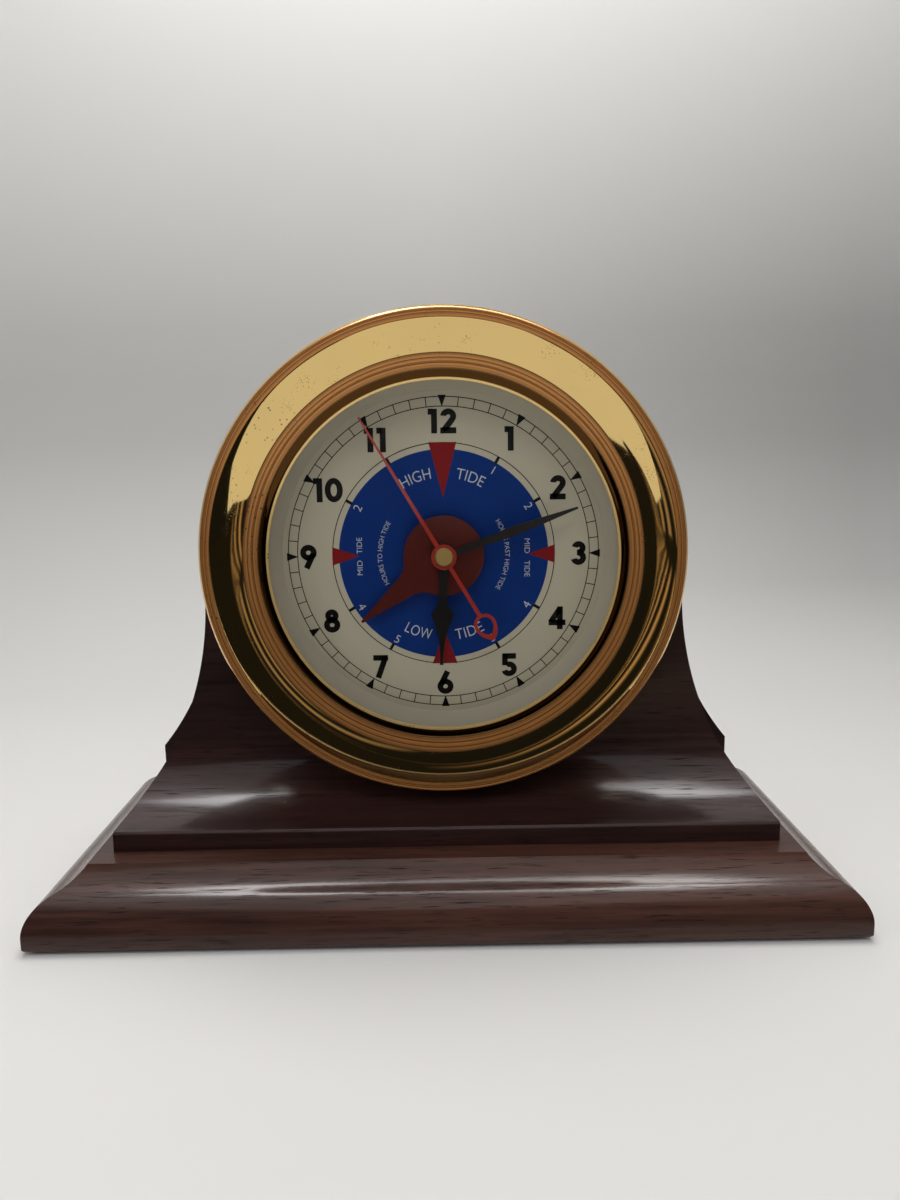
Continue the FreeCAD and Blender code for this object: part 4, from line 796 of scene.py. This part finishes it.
def make_back_board():
    """Flared board behind the block, with its round access opening and the counterbores of
    the four case screws, each a ring on the back face joined to one inside the board."""
    wood = settings("wood")
    low = wood.plinth_top + wood.ear_height
    heights = np.concatenate([[wood.plinth_top], np.linspace(low, wood.arch_height, 60)])
    loop = flared_loop(wood.block_width / 2, low, wood.board_arch_radius,
                       wood.arch_height, heights)
    opening = ring(wood.access_radius, 0, wood.axis_height)
    turns = np.radians(45 + 90 * np.arange(4))
    bores = [ring(wood.counterbore_radius, wood.screw_circle * math.sin(turn),
                  wood.axis_height + wood.screw_circle * math.cos(turn), 48)
             for turn in turns]
    near, far = wood.block_back, wood.board_back
    floor = far - wood.counterbore_depth

    loops = [loop, opening, *bores]
    points = [layer(line, far) for line in loops]
    points += [layer(loop, near), layer(opening, near)]
    points += [layer(line, floor) for line in bores]
    starts = np.cumsum([0] + [len(part) for part in points])
    faces = fill(loops)
    total = len(loop) + len(opening)
    numbers = starts[6] + np.arange(total)
    faces += [numbers[list(face)] for face in fill([loop, opening])]
    for index in range(6):
        step = np.arange(len(loops[index]))
        on = (step + 1) % len(step)
        here, there = starts[index], starts[6 + index]
        faces += list(np.stack([here + step, here + on, there + on, there + step], 1))
    faces += [starts[8 + index] + np.arange(48) for index in range(4)]
    piece = solid("flared_back_board", np.concatenate(points), faces,
                  mahogany("Board mahogany", tuple(wood.block_tone), 7.7),
                  "clock", ["back_board"], "mahogany", sharp=28)
    return ease_edges(piece, wood.edge_round)


# The brass case, bezel and glass


def make_bezel():
    """Turned ring: skirt, rim, two fine grooves, crown, two steps, hollow and lip, as one
    closed section carried round the axis."""
    b = settings("bezel")
    foot, groove = b.crown_foot, b.groove_width
    low = foot - b.groove_depth
    rim = b.rim_radius - b.mill_height
    glass_back = b.lip_back - b.glass_thickness - b.glass_recess
    glass_bore = b.glass_radius + b.glass_play
    section = outline([
        (b.bore, b.skirt_back), (b.skirt_radius, b.skirt_back), (b.skirt_radius, b.rim_foot),
        (rim - b.rim_chamfer, b.rim_low - b.rim_chamfer), (rim, b.rim_low), (rim, b.rim_high),
        (rim - b.rim_chamfer, low),
        (b.groove_radius + 3 * groove, foot),
        (b.groove_radius + 2.5 * groove, low),
        (b.groove_radius + 2 * groove, foot),
        (b.groove_radius + 0.5 * groove, low),
        (b.groove_radius, foot, b.crown_radius, LEFT),
        (b.crown_inner, foot), (b.crown_inner, foot - b.step_height),
        (b.step_radius, foot - b.step_height), (b.step_radius, foot - 2 * b.step_height),
        (b.hollow_outer, foot - 2 * b.step_height, b.hollow_arc, RIGHT),
        (b.hollow_inner, b.lip_front - 0.7 * MM), (b.hollow_inner, b.lip_front),
        (b.lip_radius, b.lip_front), (b.lip_radius, b.lip_back),
        (glass_bore, b.lip_back), (glass_bore, glass_back), (b.bore, glass_back),
    ], 0.16 * MM, 40)
    brass = polished_brass("Polished brass", tuple(b.brass), 0.06, specks=1.0, zones=True)
    turned_piece("turned_bezel", section, 480, brass, "bezel", ["bezel"], "brass", sharp=24)
    milled = np.array([(rim - 0.02 * MM, 12.15 * MM), (rim, 12.1 * MM),
                       (rim + 0.06 * MM, 12.35 * MM), (rim + 0.12 * MM, 12.7 * MM),
                       (rim + 0.12 * MM, 15.3 * MM), (rim + 0.06 * MM, 15.7 * MM),
                       (rim, 15.9 * MM), (rim - 0.02 * MM, 15.85 * MM)])
    steps = b.mill_count * 2
    points = turned(milled, steps)
    valley = (np.arange(steps) % 2)[None, :, None] * np.array(
        [0, 0, 1, 1, 1, 1, 0, 0])[:, None, None] * b.mill_depth
    out = points - (0, 0, settings("wood").axis_height)
    out = out * (1, 0, 1) / np.linalg.norm(out * (1, 0, 1), axis=-1, keepdims=True)
    solid("milled_edge", points - out * valley, quads(len(milled), steps, True, True),
          brass, "bezel", slot="brass", sharp=80)


def make_glass():
    """Flat disc with ground edges, and the sloping ring round the dial."""
    b = settings("bezel")
    back = b.lip_back - b.glass_thickness
    turned_piece("clock_glass", np.array([
        (0, back), (b.glass_radius - 0.3 * MM, back), (b.glass_radius, back + 0.3 * MM),
        (b.glass_radius, b.lip_back - 0.3 * MM), (b.glass_radius - 0.3 * MM, b.lip_back),
        (0, b.lip_back)]), 192, window_glass("Clock glass"), "bezel", ["crystal"], "glass",
                 closed=False)
    front = settings("dial").front
    section = outline([
        (b.reflector_inner, front), (b.reflector_back, front),
        (b.reflector_back, b.cup_front), (b.reflector_outer, b.cup_front),
        (b.reflector_inner, front + 0.3 * MM)], 0.12 * MM)
    turned_piece("sloping_ring", section, 256,
                 dial_card("Reflector paint", tuple(b.reflector), 0.36),
                 "clock", ["reflector_ring"], "reflector")


# The printed dial


def lettering(text, height, width=None, weight=-0.008):
    """Flat letters from the built-in face: points centred on the middle of the line, scaled
    so that a capital H has the height and the line the width, and their faces."""
    def shape(words):
        line = bpy.data.curves.new("Letters", "FONT")
        line.body = words
        line.offset = weight
        line.resolution_u = 6
        holder = linked("Letters", line)
        bpy.context.view_layer.update()
        mesh = bpy.data.meshes.new_from_object(
            holder.evaluated_get(bpy.context.evaluated_depsgraph_get()))
        flat = np.zeros(len(mesh.vertices) * 3)
        mesh.vertices.foreach_get("co", flat)
        faces = [list(face.vertices) for face in mesh.polygons]
        bpy.data.objects.remove(holder)
        bpy.data.curves.remove(line)
        bpy.data.meshes.remove(mesh)
        return flat.reshape(-1, 3)[:, :2], faces

    measure, _ = shape("H")
    low, high = measure[:, 1].min(), measure[:, 1].max()
    flat, faces = shape(text)
    scale = height / (high - low)
    middle = np.array([(flat[:, 0].min() + flat[:, 0].max()) / 2, (low + high) / 2])
    flat = (flat - middle) * scale
    if width:
        flat[:, 0] *= width / (flat[:, 0].max() - flat[:, 0].min())
    return flat, faces


def moved(shape, x, y, turn=0.0):
    """A flat shape turned clockwise and then moved."""
    flat, faces = shape
    c, s = math.cos(turn), math.sin(turn)
    return np.stack([flat[:, 0] * c + flat[:, 1] * s + x,
                     -flat[:, 0] * s + flat[:, 1] * c + y], 1), faces


def bent(shape, radius, clock_angle, tops_out=True):
    """A flat line of letters bent round the dial: its length runs along the circle and its
    height along the radius. The angle is clockwise from 12."""
    flat, faces = shape
    sign = 1 if tops_out else -1
    angle = math.radians(clock_angle) + sign * flat[:, 0] / radius
    reach = radius + sign * flat[:, 1]
    return np.stack([reach * np.sin(angle), reach * np.cos(angle)], 1), faces


DIGITS = {
    "0": [("bow", 0, 0, 0.255, 0.385, 0, 360)],
    "1": [("bar", 0.06, -0.5, 0.06, 0.5), ("bar", -0.20, 0.385, 0.0, 0.385)],
    "2": [("bow", 0, 0.195, 0.205, 0.19, 175, -38), ("bar", 0.185, 0.10, -0.20, -0.40),
          ("bar", -0.34, -0.385, 0.33, -0.385)],
    "3": [("bow", 0, 0.215, 0.175, 0.17, 165, -90), ("bow", 0, -0.19, 0.20, 0.195, 90, -165),
          ("bar", -0.07, 0.025, 0.05, 0.025)],
    "4": [("bar", 0.13, -0.5, 0.13, 0.5), ("bar", -0.36, -0.20, 0.37, -0.20),
          ("bar", 0.13, 0.42, -0.27, -0.19)],
    "5": [("bow", -0.02, -0.18, 0.215, 0.205, 125, -160), ("bar", -0.20, 0.5, -0.20, -0.02),
          ("bar", -0.29, 0.39, 0.28, 0.39)],
    "6": [("bow", 0, -0.17, 0.225, 0.215, 0, 360), ("bar", -0.20, -0.11, 0.10, 0.5)],
    "7": [("bar", -0.32, 0.39, 0.32, 0.39), ("bar", 0.21, 0.42, -0.12, -0.5)],
    "8": [("bow", 0, 0.23, 0.165, 0.155, 0, 360), ("bow", 0, -0.175, 0.225, 0.21, 0, 360)],
    "9": [("bow", 0, 0.17, 0.225, 0.215, 0, 360), ("bar", 0.20, 0.11, -0.10, -0.5)],
}
ADVANCE = {"0": 0.80, "1": 0.52}


def numeral(number, height, x, y, stroke=0.248):
    """Heavy upright figures drawn with one stroke width: bars are a straight run with half
    a stroke on each side, bows a part of an ellipse with the same."""
    text = str(number)
    widths = [ADVANCE.get(digit, 0.78) for digit in text]
    shapes, pen = [], -sum(widths) / 2
    for digit, width in zip(text, widths):
        centre = pen + width / 2
        for kind, *values in DIGITS[digit]:
            if kind == "bar":
                start, end = np.array(values[:2]), np.array(values[2:])
                way = (end - start) / np.hypot(*(end - start))
                side = np.array((-way[1], way[0])) * stroke / 2
                flat = np.array([start - side, end - side, end + side, start + side])
                faces = [[0, 1, 2, 3]]
            else:
                cx, cy, rx, ry, first, last = values
                angle = np.radians(np.linspace(first, last, 40))[None, :]
                half = np.array([stroke / 2, -stroke / 2])[:, None]
                flat = np.stack([cx + (rx + half) * np.cos(angle),
                                 cy + (ry + half) * np.sin(angle)], -1).reshape(-1, 2)
                faces = quads(2, 40)
            shapes.append((flat * height + (centre * height + x, y), faces))
        pen += width
    return shapes


def band(inner, outer, count=256):
    """A flat ring between two radii, or a disc where the inner one is nothing."""
    if not inner:
        return ring(outer, count=count), [list(range(count))]
    both = np.concatenate([ring(outer, count=count), ring(inner, count=count)])
    return both, [face[::-1] for face in quads(2, count, False, True)]


def bars(angles, inner, outer, half_in, half_out):
    """Radial bars or triangles at clock angles: each has four corners, a half width off its
    own middle line at two radii."""
    turn = np.radians(np.asarray(angles, float))[:, None]
    reach = np.array([outer, outer, inner, inner])[None, :]
    side = np.array([half_out, -half_out, -half_in, half_in])[None, :]
    x = reach * np.sin(turn) + side * np.cos(turn)
    y = reach * np.cos(turn) - side * np.sin(turn)
    count = len(turn)
    return np.stack([x, y], -1).reshape(-1, 2), list(np.arange(4 * count).reshape(-1, 4))


def printed(name, shapes, level, material):
    """Flat print on the dial at a level above its face."""
    dial, axis = settings("dial"), settings("wood").axis_height
    starts = np.cumsum([0] + [len(flat) for flat, _ in shapes])
    flat = np.concatenate([flat for flat, _ in shapes])
    faces = [[int(start + point) for point in face]
             for start, (_, parts) in zip(starts, shapes) for face in parts]
    points = layer(flat + (0, axis), -dial.front - level)
    mesh = solid(name, points, faces, material, "clock", slot="dial", weld=False).data
    work = bmesh.new()
    work.from_mesh(mesh)
    work.normal_update()
    bmesh.ops.reverse_faces(work, faces=[f for f in work.faces if f.normal.y > 0])
    work.to_mesh(mesh)
    work.free()


def make_dial():
    """Minute track, numerals, tide disc and its marks as layers of print a few hundredths
    of a millimetre above the dial plate."""
    d = settings("dial")
    dress(dial_card("Dial card", tuple(d.card)), "dial_plate")
    line = d.line / 2
    hours = np.arange(12) * 30.0
    minutes = np.arange(60) * 6.0
    black = [band(d.track_outer - line, d.track_outer + line),
             band(d.track_inner - line, d.track_inner + line),
             bars(minutes, d.track_inner, d.track_outer, line, line),
             bars(hours, d.hour_mark_inner, d.hour_mark_outer, 0.12 * MM, 1.35 * MM),
             band(d.tide_circle - line, d.tide_circle + line),
             bars(hours, d.sea_radius - 0.3 * MM, d.tide_circle, 0.5 * MM, 0.5 * MM)]
    for hour in range(1, 13):
        turn = math.radians(hour * 30)
        reach = d.numeral_circle + (1.2 * MM if hour in (3, 9) else 0.0)
        black += numeral(hour, d.numeral_height, reach * math.sin(turn),
                         reach * math.cos(turn))
    printed("black_print", black, 0.03 * MM, print_ink("Black ink", tuple(d.ink)))
    printed("blue_print", [band(0, d.sea_radius)], 0.02 * MM,
            print_ink("Blue ink", tuple(d.sea)))
    point = 0.05 * MM
    red = [bars(angles, inner * MM, d.tide_mark_outer, point, half * MM)
           for angles, inner, half in (([0], 19.3, 4.6), ([180], 26.0, 4.3),
                                       ([90, 270], 28.5, 3.1))]
    printed("red_print", red, 0.04 * MM, print_ink("Red ink", tuple(d.mark)))
    tall, small, tiny = 3.5 * MM, 1.75 * MM, 1.55 * MM
    white = [
        bent(lettering("HIGH", tall, 10.4 * MM), 27.5 * MM, -19.4),
        bent(lettering("TIDE", tall, 9.6 * MM), 27.5 * MM, 19.6),
        bent(lettering("LOW", tall, 9.1 * MM), 27.5 * MM, 198.6, False),
        bent(lettering("TIDE", tall, 9.6 * MM), 27.5 * MM, 162.4, False),
        moved(lettering("MID", small, 4.9 * MM), -28.2 * MM, -4.0 * MM, math.radians(-90)),
        moved(lettering("TIDE", small, 5.4 * MM), -28.2 * MM, 3.5 * MM, math.radians(-90)),
        moved(lettering("MID", small, 4.9 * MM), 28.0 * MM, 2.7 * MM, math.radians(90)),
        moved(lettering("TIDE", small, 5.4 * MM), 28.0 * MM, -5.0 * MM, math.radians(90)),
        bent(lettering("HOURS TO HIGH TIDE", tiny, 22.0 * MM), 21.4 * MM, 272.5),
        bent(lettering("HOURS PAST HIGH TIDE", tiny, 24.6 * MM), 21.4 * MM, 90.5),
    ]
    for number, turn, radius, upright in ((1, 31.0, 32.6, True), (2, 60.5, 32.6, True),
                                          (4, 121.8, 32.8, False), (5, 150.6, 32.8, False)):
        white += [bent(lettering(str(number), 2.7 * MM), radius * MM, side * turn, upright)
                  for side in (-1, 1)]
    printed("white_print", white, 0.06 * MM, print_ink("White ink", tuple(d.letter)))


# Operators


class TIDECLOCK_OT_base(bpy.types.Operator):
    """Make the plinth, the coved block, the back board and the felt"""

    bl_idname = "tide_clock.base"
    bl_label = "Mahogany base"

    def execute(self, context):
        make_plinth()
        make_saddle_block()
        make_back_board()
        dress(felt("Baize"), "base_felt")
        dress(plain_metal("Zinc plated steel", (0.46, 0.45, 0.42), 0.3), "base_screws")
        return {"FINISHED"}


class TIDECLOCK_OT_case(bpy.types.Operator):
    """Finish the case and its screws, and turn the bezel with its glass"""

    bl_idname = "tide_clock.case"
    bl_label = "Case and bezel"

    def execute(self, context):
        tone = tuple(settings("bezel").brass)
        dress(polished_brass("Satin brass", tone, 0.24, turning=9000), "case_body",
              "crystal_ring")
        dress(plain_metal("Case screw steel", (0.50, 0.40, 0.22), 0.28), "case_screws",
              "dial_screws")
        make_bezel()
        make_glass()
        return {"FINISHED"}


class TIDECLOCK_OT_dial(bpy.types.Operator):
    """Print the dial"""

    bl_idname = "tide_clock.dial"
    bl_label = "Dial"

    def execute(self, context):
        make_dial()
        return {"FINISHED"}


class TIDECLOCK_OT_hands(bpy.types.Operator):
    """Enamel the four hands and polish their cap"""

    bl_idname = "tide_clock.hands"
    bl_label = "Hands"

    def execute(self, context):
        h = settings("hands")
        dress(enamel("Tide hand enamel", tuple(h.tide)), "tide_hand")
        dress(enamel("Black enamel", tuple(h.hour), 0.3), "hour_hand", "minute_hand")
        dress(enamel("Second hand enamel", tuple(h.second)), "second_hand")
        dress(polished_brass("Turned brass", tuple(settings("bezel").brass), 0.5,
                             turning=16000), "hand_cap")
        return {"FINISHED"}


class TIDECLOCK_OT_movement(bpy.types.Operator):
    """Give every piece of the movement its finish"""

    bl_idname = "tide_clock.movement"
    bl_label = "Movement"

    def execute(self, context):
        dress(moulded("Black shell", (0.018, 0.018, 0.019), 0.38, 0.5),
              "movement_front_shell", "movement_back_shell")
        dress(moulded("Cushion rubber", (0.028, 0.027, 0.026), 0.7, 0.6),
              "movement_cushion")
        dress(plain_metal("Nut brass", (0.70, 0.50, 0.22), 0.22), "fixing_nut",
              "fixing_washer")
        dress(cell_sleeve("Battery sleeve"), "battery")
        dress(plain_metal("Sprung steel", (0.56, 0.56, 0.55), 0.22),
              "battery_contact_positive", "battery_contact_negative", "quartz_can",
              "stator")
        dress(laminate("Circuit laminate"), "circuit_board")
        dress(wound_copper("Coil wire"), "coil")
        dress(moulded("Magnet", (0.05, 0.05, 0.055), 0.4, 0.3), "rotor")
        dress(moulded("Acetal", (0.62, 0.61, 0.57), 0.34, 0.25, 0.05), "fifth_wheel",
              "second_wheel", "third_wheel", "centre_wheel", "minute_arbor",
              "minute_wheel", "hour_wheel")
        dress(moulded("Tide acetal", (0.10, 0.26, 0.42), 0.34, 0.25, 0.03),
              "tide_intermediate_wheel", "tide_wheel")
        dress(moulded("Knob plastic", (0.55, 0.54, 0.50), 0.36, 0.45),
              "time_set_knob", "tide_set_knob")
        return {"FINISHED"}


class TIDECLOCK_OT_studio(bpy.types.Operator):
    """Set up the floor, the backdrop, the lamps, the world and the camera"""

    bl_idname = "tide_clock.studio"
    bl_label = "Studio"

    def execute(self, context):
        make_sweep()
        make_world()
        make_lamps()
        make_cards()
        make_camera()
        context.scene.view_settings.view_transform = "Standard"
        return {"FINISHED"}


# The studio


def make_sweep():
    """Floor that turns up into a backdrop: a line of floor, quarter circle and wall carried
    across the studio. Its paper carries painted shade at mid height, on the right and towards
    the back, and a painted lighter top. Polished pieces see its near edge as a painted
    reflection: dark, with warm stripes on the right."""
    studio = settings("studio")
    wide, near, wall, bend, high = 1.6, -1.6, 0.40, 0.16, 1.5
    angle = np.linspace(0, math.pi / 2, 24)
    y = np.concatenate([np.linspace(near, wall - bend, 12)[:-1],
                        wall - bend + bend * np.sin(angle), [wall]])
    z = np.concatenate([np.zeros(11), bend - bend * np.cos(angle), [high]])
    x = np.array([wide, -wide])
    points = np.stack([np.repeat(x[None], len(y), 0), np.repeat(y[:, None], 2, 1),
                       np.repeat(z[:, None], 2, 1)], -1).reshape(-1, 3)
    mesh = bpy.data.meshes.new("paper_sweep")
    mesh.from_pydata(points.tolist(), [], quads(len(y), 2).tolist())
    mesh.shade_smooth()
    finish = Finish("Sweep paper")
    px, py, pz = finish.parts()
    tone = finish.noise(3.0, 3)
    paper = finish.mix(tone, lighter(studio.paper, 0.97), lighter(studio.paper, 1.03))
    # Painted shade: the paper is darkened at mid height, on the right side and towards the far
    # back
    mid_height_shade = pz.above(0.10, 0.10) - pz.above(0.36, 0.16)
    side = px.above(0.16, 0.16) * pz.above(0.02, 0.03)
    far = py.above(0.08, 0.16)
    paper = finish.mix((far * 0.12 + mid_height_shade * 0.16 + side * 0.22).held(), paper,
                       (0.0, 0.0, 0.0))
    # Painted light: the backdrop's top is made lighter
    paper = finish.mix(pz.above(0.40, 0.16) * 0.8, paper, (1.0, 0.99, 0.97))
    diffuse = finish.node("ShaderNodeBsdfDiffuse", None, {"Color": paper})
    # Painted reflection: polished pieces see the near floor as a dark glow with warm stripes
    # on the right
    glossy = finish.ray("Glossy")
    front = 1.0 - py.above(-0.064, 0.012)
    warm_reflection_stripes = (py * 26.0 + px * 12.0).wave() ** 3
    warm_reflection_mask = warm_reflection_stripes * px.above(0.04, 0.05) * (1.0 - px.above(0.55, 0.1))
    shade = finish.node("ShaderNodeEmission", None, {"Color": finish.mix(
        warm_reflection_mask, (0.012, 0.011, 0.010), (0.44, 0.31, 0.21))})
    mesh.materials.append(finish.surface(finish.blend(
        (glossy * front).held(), diffuse.outputs[0], shade.outputs[0])))
    linked("paper_sweep", mesh)


def make_world():
    """Light all round: pale for the camera, brighter overhead for matt surfaces, and for
    polished ones a bright top with a dark front and a warm right side."""
    studio = settings("studio")
    world = bpy.data.worlds.new("Surround")
    bpy.context.scene.world = world
    world.use_nodes = True
    finish = Finish("Surround", world.node_tree)
    where = finish.node("ShaderNodeTexCoord").outputs["Generated"]
    x, y, z = finish.parts(where)
    wide = x.math("ABSOLUTE")
    overhead = (z - (wide * 0.5 + 0.66)).above(0.0, 0.04)
    behind = y.above(0.25, 0.15)
    bright = (overhead + behind).held()
    warm = x.above(0.18, 0.1) * (1.0 - bright)
    streaks = (x * 21.0 + z * 9.0).wave() ** 2
    shiny = finish.mix(bright, (0.010, 0.010, 0.011), (0.90, 0.90, 0.88))
    shiny = finish.mix((warm * streaks).held(), shiny, (0.34, 0.26, 0.19))
    soft_level = z.math("MAXIMUM", 0.0) * 0.60 + (y * 0.35 + 0.75) * 0.55
    soft = finish.mix(soft_level.held(), (0.0, 0.0, 0.0),
                      tuple(c * studio.fill / 0.5 for c in (0.96, 0.98, 1.0)))
    colours = finish.mix(finish.ray("Glossy"), soft, shiny)
    colours = finish.mix(finish.ray("Camera"), colours, (0.76, 0.75, 0.74))
    back = finish.node("ShaderNodeBackground", None, {"Color": colours, "Strength": 1.0})
    finish.node("ShaderNodeOutputWorld", None, {"Surface": back.outputs[0]})


def lamp(name, place, aim, size, power, tone=(1.0, 1.0, 1.0), shiny=True, matt=True):
    """A soft rectangular lamp that faces a point, and what kind of surface sees it."""
    light = bpy.data.lights.new(name, "AREA")
    light.shape = "RECTANGLE"
    light.size, light.size_y = size
    light.energy = power
    light.color = tone
    holder = linked(name, light)
    holder.location = place
    holder.rotation_euler = (Vector(aim) - Vector(place)).to_track_quat("-Z", "Y").to_euler()
    holder.visible_glossy = shiny
    holder.visible_diffuse = matt


def make_lamps():
    """Soft lamps overhead, in front and at the left. The two glints show in polished
    surfaces only, and the last two lamps light matt ones only."""
    power = settings("studio").key
    lamp("Overhead softbox", (0.03, 0.15, 0.85), (0, 0.02, 0.05), (0.62, 0.30), power,
         (1.0, 0.99, 0.97))
    lamp("Left glint", (-0.20, 0.15, 0.80), (0, 0.02, 0.05), (0.16, 0.26), power * 0.34,
         (0.98, 0.98, 1.0), True, False)
    lamp("Right glint", (0.24, 0.15, 0.80), (0, 0.02, 0.05), (0.14, 0.26), power * 0.18,
         (1.0, 0.98, 0.97), True, False)
    lamp("Front softbox", (0.0, -0.42, 0.72), (0, 0, 0.10), (0.5, 0.3), power * 0.30,
         (1.0, 0.99, 0.97), False)
    lamp("Left softbox", (-0.75, -0.45, 0.45), (0, 0, 0.1), (0.4, 0.5), power * 0.28,
         (0.97, 0.98, 1.0), False)


def shiny_card(name, corners, faces_up=False):
    """A lit sheet that only polished pieces see. One that faces up is clear from below."""
    mesh = bpy.data.meshes.new(name)
    mesh.from_pydata(corners.tolist(), [], [list(range(len(corners)))])
    finish = Finish(name)
    glow = finish.node("ShaderNodeEmission", None, {"Color": (0.69, 0.70, 0.69)}).outputs[0]
    if faces_up:
        clear = finish.node("ShaderNodeBsdfTransparent")
        behind = finish.node("ShaderNodeNewGeometry").outputs["Backfacing"]
        glow = finish.blend(behind, glow, clear.outputs[0])
    mesh.materials.append(finish.surface(glow))
    card = linked(name, mesh)
    card.visible_camera = card.visible_diffuse = card.visible_shadow = False
    card.visible_transmission = False


def make_cards():
    """Pale card in front above the camera, and a low card below it that only the
    top of the bezel looks down on. Together they give the crown its crescent."""
    front, above_base = 0.10, 0.128
    flap = np.array([(-0.20, 0.28), (-0.14, 0.168), (-0.09, 0.125), (0.0, 0.124),
                     (0.036, 0.126), (0.046, 0.134), (0.066, 0.134), (0.085, 0.126),
                     (0.12, 0.136), (0.16, 0.19), (0.21, 0.28), (0.25, 0.40),
                     (-0.30, 0.40)])
    shiny_card("front_card", layer(flap, -front))
    strip = np.array([(-0.050, -0.035), (-0.09, -0.10), (0.042, -0.10), (0.022, -0.035)])
    shiny_card("low_card", np.insert(strip, 2, above_base, axis=1), True)


def make_camera():
    """The photograph's view: looks along its pitch and yaw, and leans by its roll."""
    studio = settings("studio")
    pitch, yaw, roll = studio.pitch, studio.yaw, studio.roll
    ahead = Vector((-math.sin(yaw) * math.cos(pitch), math.cos(yaw) * math.cos(pitch),
                    -math.sin(pitch)))
    right = Vector((math.cos(yaw), math.sin(yaw), 0))
    up = right.cross(ahead)
    across = right * math.cos(roll) + up * math.sin(roll)
    upright = up * math.cos(roll) - right * math.sin(roll)
    lens = bpy.data.cameras.new("Photograph camera")
    lens.lens = studio.lens
    lens.sensor_width = 36.0
    lens.clip_start = 0.01
    camera = linked("Photograph camera", lens)
    camera.matrix_world = Matrix.Translation(studio.camera_place) @ Matrix(
        (across, upright, -ahead)).transposed().to_4x4()
    bpy.context.scene.camera = camera


class TIDECLOCK_PT_panel(bpy.types.Panel):
    """Sidebar panel with the steps and the sizes"""

    bl_label = "Tide Clock"
    bl_space_type = "VIEW_3D"
    bl_region_type = "UI"
    bl_category = "Tide Clock"

    def draw(self, context):
        layout = self.layout
        for step in STEPS:
            layout.operator(step.bl_idname)
        for group, kind in SETTINGS:
            box = layout.box()
            box.label(text=kind.__doc__)
            for name in kind.__annotations__:
                box.prop(settings(group), name)


STEPS = (TIDECLOCK_OT_studio, TIDECLOCK_OT_base, TIDECLOCK_OT_case, TIDECLOCK_OT_dial,
         TIDECLOCK_OT_hands, TIDECLOCK_OT_movement)


def register():
    for group, kind in SETTINGS:
        bpy.utils.register_class(kind)
        setattr(bpy.types.Scene, "tide_clock_" + group,
                bpy.props.PointerProperty(type=kind))
    for kind in (*STEPS, TIDECLOCK_PT_panel):
        bpy.utils.register_class(kind)


def unregister():
    for kind in (TIDECLOCK_PT_panel, *reversed(STEPS)):
        bpy.utils.unregister_class(kind)
    for group, kind in reversed(SETTINGS):
        delattr(bpy.types.Scene, "tide_clock_" + group)
        bpy.utils.unregister_class(kind)


def main():
    """Make every piece in order."""
    register()
    for step in STEPS:
        group, name = step.bl_idname.split(".")
        getattr(getattr(bpy.ops, group), name)()


if __name__ == "__main__":
    main()
